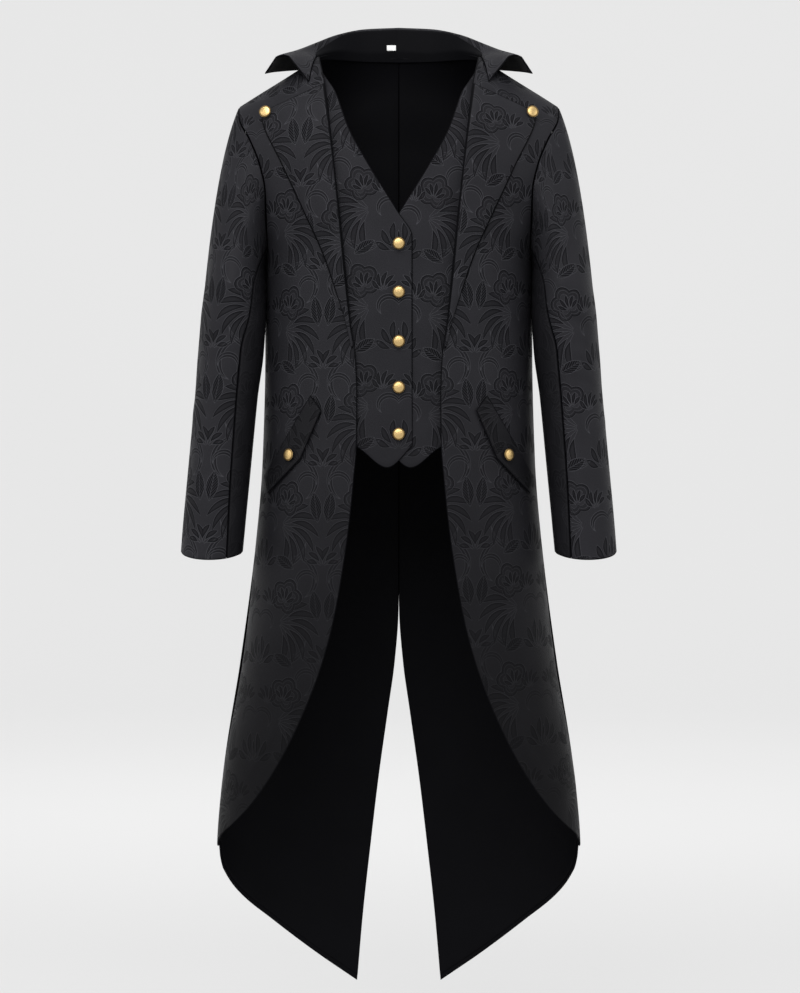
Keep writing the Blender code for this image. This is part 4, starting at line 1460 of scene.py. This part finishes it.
def put_in_frame(piece, node, finish):
    """Gives a modelled piece its material, its body, and the CAD node that it stands for."""
    piece.name = piece.data.name = node + "_detail"
    piece.data.materials.clear()
    piece.data.materials.append(material_named(finish))
    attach(piece, "root")
    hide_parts(node)


def front_place(x, height):
    """A point of the front's outer face and the normal there."""
    step = 1.0
    x, height = np.array(float(x)), np.array(float(height))
    down = on_front(x, height - step) - on_front(x, height + step)
    normal = np.cross(down, on_front(x + step, height) - on_front(x - step, height))
    normal /= np.linalg.norm(normal)
    return on_front(x, height), normal if normal[1] < 0 else -normal


def turned_to_front(normal):
    """The way a lapel button faces, and how far its middle stands off the lapel."""
    facing = normal * (1 - BUTTON_TURN) + np.array((0, -BUTTON_TURN, 0))
    facing /= np.linalg.norm(facing)
    tilt = math.acos(min(float(normal @ facing), 1.0))
    return facing, BUTTON_TILT_LIFT * math.sin(tilt)


def turned_button():
    """A domed button at the origin, facing +Z: rim, groove and dome from insets of a short cylinder."""
    look = bpy.context.scene.tailcoat_buttons
    radius, rim = look.diameter / 2, look.height * BUTTON_RIM
    bpy.ops.object.select_all(action="DESELECT")
    bpy.ops.mesh.primitive_cylinder_add(
        vertices=40, radius=radius, depth=rim, end_fill_type="NGON", location=(0, 0, rim / 2)
    )
    button = bpy.context.object
    bpy.ops.object.transform_apply(location=True, rotation=True, scale=True)
    for face in button.data.polygons:
        face.select = face.normal.z > 0.9
    bpy.ops.object.mode_set(mode="EDIT")
    bpy.ops.mesh.select_mode(type="FACE")
    for inset, rise in BUTTON_STEPS:
        bpy.ops.mesh.inset(thickness=inset * radius, depth=0)
        bpy.ops.transform.translate(value=(0, 0, rise * look.height))
    bpy.ops.object.mode_set(mode="OBJECT")
    smoothed = button.modifiers.new("Smooth", "SUBSURF")
    smoothed.levels = smoothed.render_levels = 1
    bpy.ops.object.modifier_apply(modifier=smoothed.name)
    button.data.shade_smooth()
    write_flat_map(button.data)
    return button


class TAILCOAT_OT_buttons(bpy.types.Operator):
    """Nine domed brass buttons: five on the waistcoat, one on each lapel and pocket flap"""

    bl_idname = "tailcoat.buttons"
    bl_label = "Buttons"
    bl_options = {"REGISTER", "UNDO"}

    def execute(self, context):
        pattern = turned_button()
        on_lapel = COAT_WALL + FRONT_LAYER_GAP
        spots = [
            (f"button_waistcoat_{number}", 0.0, height, -WAISTCOAT_DEPTH)
            for number, height in enumerate(WAISTCOAT_BUTTONS, 1)
        ]
        for group, (x, height) in (("lapel", LAPEL_BUTTON), ("flap", FLAP_BUTTON)):
            spots += [(f"button_{group}_{name}", side * x, height, on_lapel) for name, side in SIDES]
        for number, (node, x, height, lift) in enumerate(spots):
            place, normal = front_place(x, height)
            facing = normal
            if "lapel" in node:
                facing, stand_off = turned_to_front(normal)
                lift += stand_off
            button = bpy.data.objects.new(node, pattern.data.copy())
            context.scene.collection.objects.link(button)
            turn = Vector(facing).to_track_quat("Z", "Y").to_matrix().to_4x4()
            spin = Matrix.Rotation(0.7 * number, 4, "Z")
            spot = Matrix.Translation(Vector((place + normal * (lift + LAYER_GAP)) * MM))
            button.data.transform(spot @ turn @ spin)
            put_in_frame(button, node, "Antique brass")
        bpy.data.objects.remove(pattern)
        return {"FINISHED"}


class TAILCOAT_OT_size_tab(bpy.types.Operator):
    """Blank woven tab at the nape"""

    bl_idname = "tailcoat.size_tab"
    bl_label = "Size Tab"
    bl_options = {"REGISTER", "UNDO"}

    def execute(self, context):
        seam, above = (facing_face(np.array([TAB_PLACE]), np.array([down])) for down in (0.0, 0.5))
        up = Vector((above - seam)[0]).normalized()
        away = Vector((0, -up.z, up.y))
        depth = FACING_LIFT + LINING_WALL + TAB_LIFT + TAB_WALL / 2
        centre = Vector(seam[0]) + up * (TAB_HEIGHT / 2 + 1) + away * depth
        bpy.ops.object.select_all(action="DESELECT")
        bpy.ops.mesh.primitive_cube_add(size=1)
        tab = context.object
        tab.scale = Vector((TAB_WIDTH, TAB_HEIGHT, TAB_WALL)) * MM
        bpy.ops.object.transform_apply(location=False, rotation=False, scale=True)
        rounded = tab.modifiers.new("Rounded", "BEVEL")
        rounded.width, rounded.segments = 0.0004, 3
        bpy.ops.object.modifier_apply(modifier=rounded.name)
        tab.data.shade_smooth()
        write_flat_map(tab.data)
        turn = Matrix.Rotation(math.atan2(up.z, up.y), 4, "X")
        tab.data.transform(Matrix.Translation(centre * MM) @ turn)
        put_in_frame(tab, "size_tab", "White tab weave")
        return {"FINISHED"}


def stitches(name, spots, normals, length, gap, thickness):
    """A run of small thread stitches along a line of points in mm."""
    curve = bpy.data.curves.new(name, "CURVE")
    curve.dimensions, curve.bevel_depth = "3D", thickness / 2 * MM
    curve.bevel_resolution, curve.use_fill_caps = 2, True
    run = np.concatenate([[0], np.cumsum(np.linalg.norm(np.diff(spots, axis=0), axis=-1))])
    start = gap / 2
    while start + length < run[-1]:
        spline = curve.splines.new("POLY")
        spline.points.add(4)
        for number, share in enumerate(np.linspace(0, 1, 5)):
            at = start + share * length
            place = np.array([np.interp(at, run, spots[:, axis]) for axis in range(3)])
            normal = np.array([np.interp(at, run, normals[:, axis]) for axis in range(3)])
            place = place + normal * thickness * (math.sin(math.pi * share) * 0.8 - 0.3)
            spline.points[number].co = (*(place * MM), 1)
        start += length + gap
    piece = bpy.data.objects.new(name, curve)
    bpy.context.scene.collection.objects.link(piece)
    curve.materials.append(material_named("Sewing thread"))
    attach(piece, "root")
    return piece


class TAILCOAT_OT_stitching(bpy.types.Operator):
    """Topstitching along the flaps' free edges, and the waistcoat's worked buttonholes"""

    bl_idname = "tailcoat.stitching"
    bl_label = "Stitching"
    bl_options = {"REGISTER", "UNDO"}

    def execute(self, context):
        def flap_line(name, side):
            across = np.linspace(0.04, 0.96, 60)
            down = np.full(60, TOPSTITCH_LINE)
            place = flap_face(across, down)
            normal = np.array([front_place(*spot[[0, 2]])[1] for spot in place])
            lift = COAT_WALL + FRONT_LAYER_GAP + FLAP_LIFT * down[:, None] ** 2
            lift = lift + crease_depth(FRONT_CREASES, place[:, 0], place[:, 2], side)[:, None]
            mirror = np.array((side, 1, 1))
            place = (place + normal * lift) * mirror
            stitches("flap_stitches" + name, place, normal * mirror, *TOPSTITCH)

        both_sides(flap_line)
        for number, height in enumerate(WAISTCOAT_BUTTONS, 1):
            x = np.linspace(*BUTTONHOLE, 12)
            spots = [front_place(at, height) for at in x]
            place = np.array([spot + normal * -WAISTCOAT_DEPTH for spot, normal in spots])
            normal = np.array([normal for _, normal in spots])
            stitches(f"buttonhole_{number}", place, normal, *BUTTONHOLE_STITCH)
        return {"FINISHED"}


class TAILCOAT_OT_stage(bpy.types.Operator):
    """Pale studio bowl, soft lights, and the camera at the photo's place"""

    bl_idname = "tailcoat.stage"
    bl_label = "Stage"
    bl_options = {"REGISTER", "UNDO"}

    def execute(self, context):
        look = context.scene.tailcoat_stage
        self.bowl(look)
        self.lights(context, look)
        place = (CAMERA_X, -look.distance, CAMERA_HEIGHT)
        bpy.ops.object.camera_add(location=place, rotation=(math.pi / 2, 0, 0))
        camera = context.object
        camera.name = camera.data.name = "Photo camera"
        camera.data.lens, camera.data.sensor_width = look.focal_length, 36
        context.scene.camera = camera
        context.scene.view_settings.view_transform = "Standard"
        return {"FINISHED"}

    def bowl(self, look):
        """A round floor that bends up into a wall."""
        bpy.ops.object.select_all(action="DESELECT")
        rim = (0, 0, BOWL_HEIGHT - look.floor_drop)
        bpy.ops.mesh.primitive_circle_add(vertices=96, radius=BOWL_RADIUS, fill_type="NOTHING", location=rim)
        bowl = bpy.context.object
        bowl.name = bowl.data.name = "Backdrop"
        bpy.ops.object.mode_set(mode="EDIT")
        bpy.ops.mesh.select_all(action="SELECT")
        past = (BOWL_RADIUS, BOWL_HEIGHT)
        for bend in np.linspace(0, math.pi / 2, 13):
            wide = BOWL_RADIUS - BOWL_COVE * (1 - math.cos(bend))
            high = BOWL_COVE * (1 - math.sin(bend))
            bpy.ops.mesh.extrude_edges_move(TRANSFORM_OT_translate={"value": (0, 0, high - past[1])})
            share = wide / past[0]
            bpy.ops.transform.resize(value=(share, share, 1), center_override=(0, 0, high - look.floor_drop))
            past = (wide, high)
        bpy.ops.mesh.edge_face_add()
        bpy.ops.mesh.select_all(action="SELECT")
        bpy.ops.mesh.normals_make_consistent(inside=True)
        bpy.ops.object.mode_set(mode="OBJECT")
        bpy.ops.object.transform_apply(location=True, rotation=True, scale=True)
        bowl.data.shade_smooth()
        bowl.data.materials.append(material_named("Studio paint"))

    def lights(self, context, look):
        """Soft area lights in front, at the sides and above, one for the wall, and light from all round."""
        lights = (
            ("Front light", (-0.6, -3.4, 2.5), 3.0, look.front_light),
            ("Left light", (4.2, -2.2, 0.9), 2.6, look.side_light),
            ("Right light", (-4.2, -2.0, 0.9), 2.6, look.side_light),
            ("Top light", (0, -0.6, 3.6), 3.4, look.top_light),
            ("Wall light", (0, 3.2, 2.2), 4.5, look.wall_light),
        )
        for name, place, size, power in lights:
            aim = WALL_SPOT if name == "Wall light" else COAT_MIDDLE
            turn = (Vector(aim) - Vector(place)).to_track_quat("-Z", "Y").to_euler()
            bpy.ops.object.light_add(type="AREA", location=place, rotation=turn)
            light = context.object
            light.name = light.data.name = name
            light.data.size, light.data.energy = size, power
        world = bpy.data.worlds.new("Studio air")
        context.scene.world = world
        world.use_nodes = True
        world.node_tree.nodes["Background"].inputs["Color"].default_value = (1, 1, 1, 1)
        world.node_tree.nodes["Background"].inputs["Strength"].default_value = look.air_light


# ---- Add-on ----


class TAILCOAT_PT_panel(bpy.types.Panel):
    bl_idname = "TAILCOAT_PT_panel"
    bl_label = "Tailcoat"
    bl_space_type = "VIEW_3D"
    bl_region_type = "UI"
    bl_category = "Tailcoat"

    def draw(self, context):
        for label in SETTINGS:
            settings, box = getattr(context.scene, label), self.layout.box()
            for name in settings.__annotations__:
                box.prop(settings, name)
        for operator in OPERATORS:
            self.layout.operator(operator.bl_idname)


OPERATORS = (
    TAILCOAT_OT_fronts,
    TAILCOAT_OT_backs,
    TAILCOAT_OT_sleeves,
    TAILCOAT_OT_lapels,
    TAILCOAT_OT_waistcoat,
    TAILCOAT_OT_flaps,
    TAILCOAT_OT_collar,
    TAILCOAT_OT_buttons,
    TAILCOAT_OT_size_tab,
    TAILCOAT_OT_stitching,
    TAILCOAT_OT_stage,
)
SETTINGS = {
    "tailcoat_cloth": ClothSettings,
    "tailcoat_buttons": ButtonSettings,
    "tailcoat_stage": StageSettings,
}


def register():
    for name, settings in SETTINGS.items():
        bpy.utils.register_class(settings)
        setattr(bpy.types.Scene, name, PointerProperty(type=settings))
    for made in (*OPERATORS, TAILCOAT_PT_panel):
        bpy.utils.register_class(made)


def unregister():
    for made in reversed((*OPERATORS, TAILCOAT_PT_panel)):
        bpy.utils.unregister_class(made)
    for name, settings in SETTINGS.items():
        delattr(bpy.types.Scene, name)
        bpy.utils.unregister_class(settings)


def main():
    register()
    bpy.ops.tailcoat.fronts()
    bpy.ops.tailcoat.backs()
    bpy.ops.tailcoat.sleeves()
    bpy.ops.tailcoat.lapels()
    bpy.ops.tailcoat.waistcoat()
    bpy.ops.tailcoat.flaps()
    bpy.ops.tailcoat.collar()
    bpy.ops.tailcoat.buttons()
    bpy.ops.tailcoat.size_tab()
    bpy.ops.tailcoat.stitching()
    bpy.ops.tailcoat.stage()


if __name__ == "__main__":
    main()
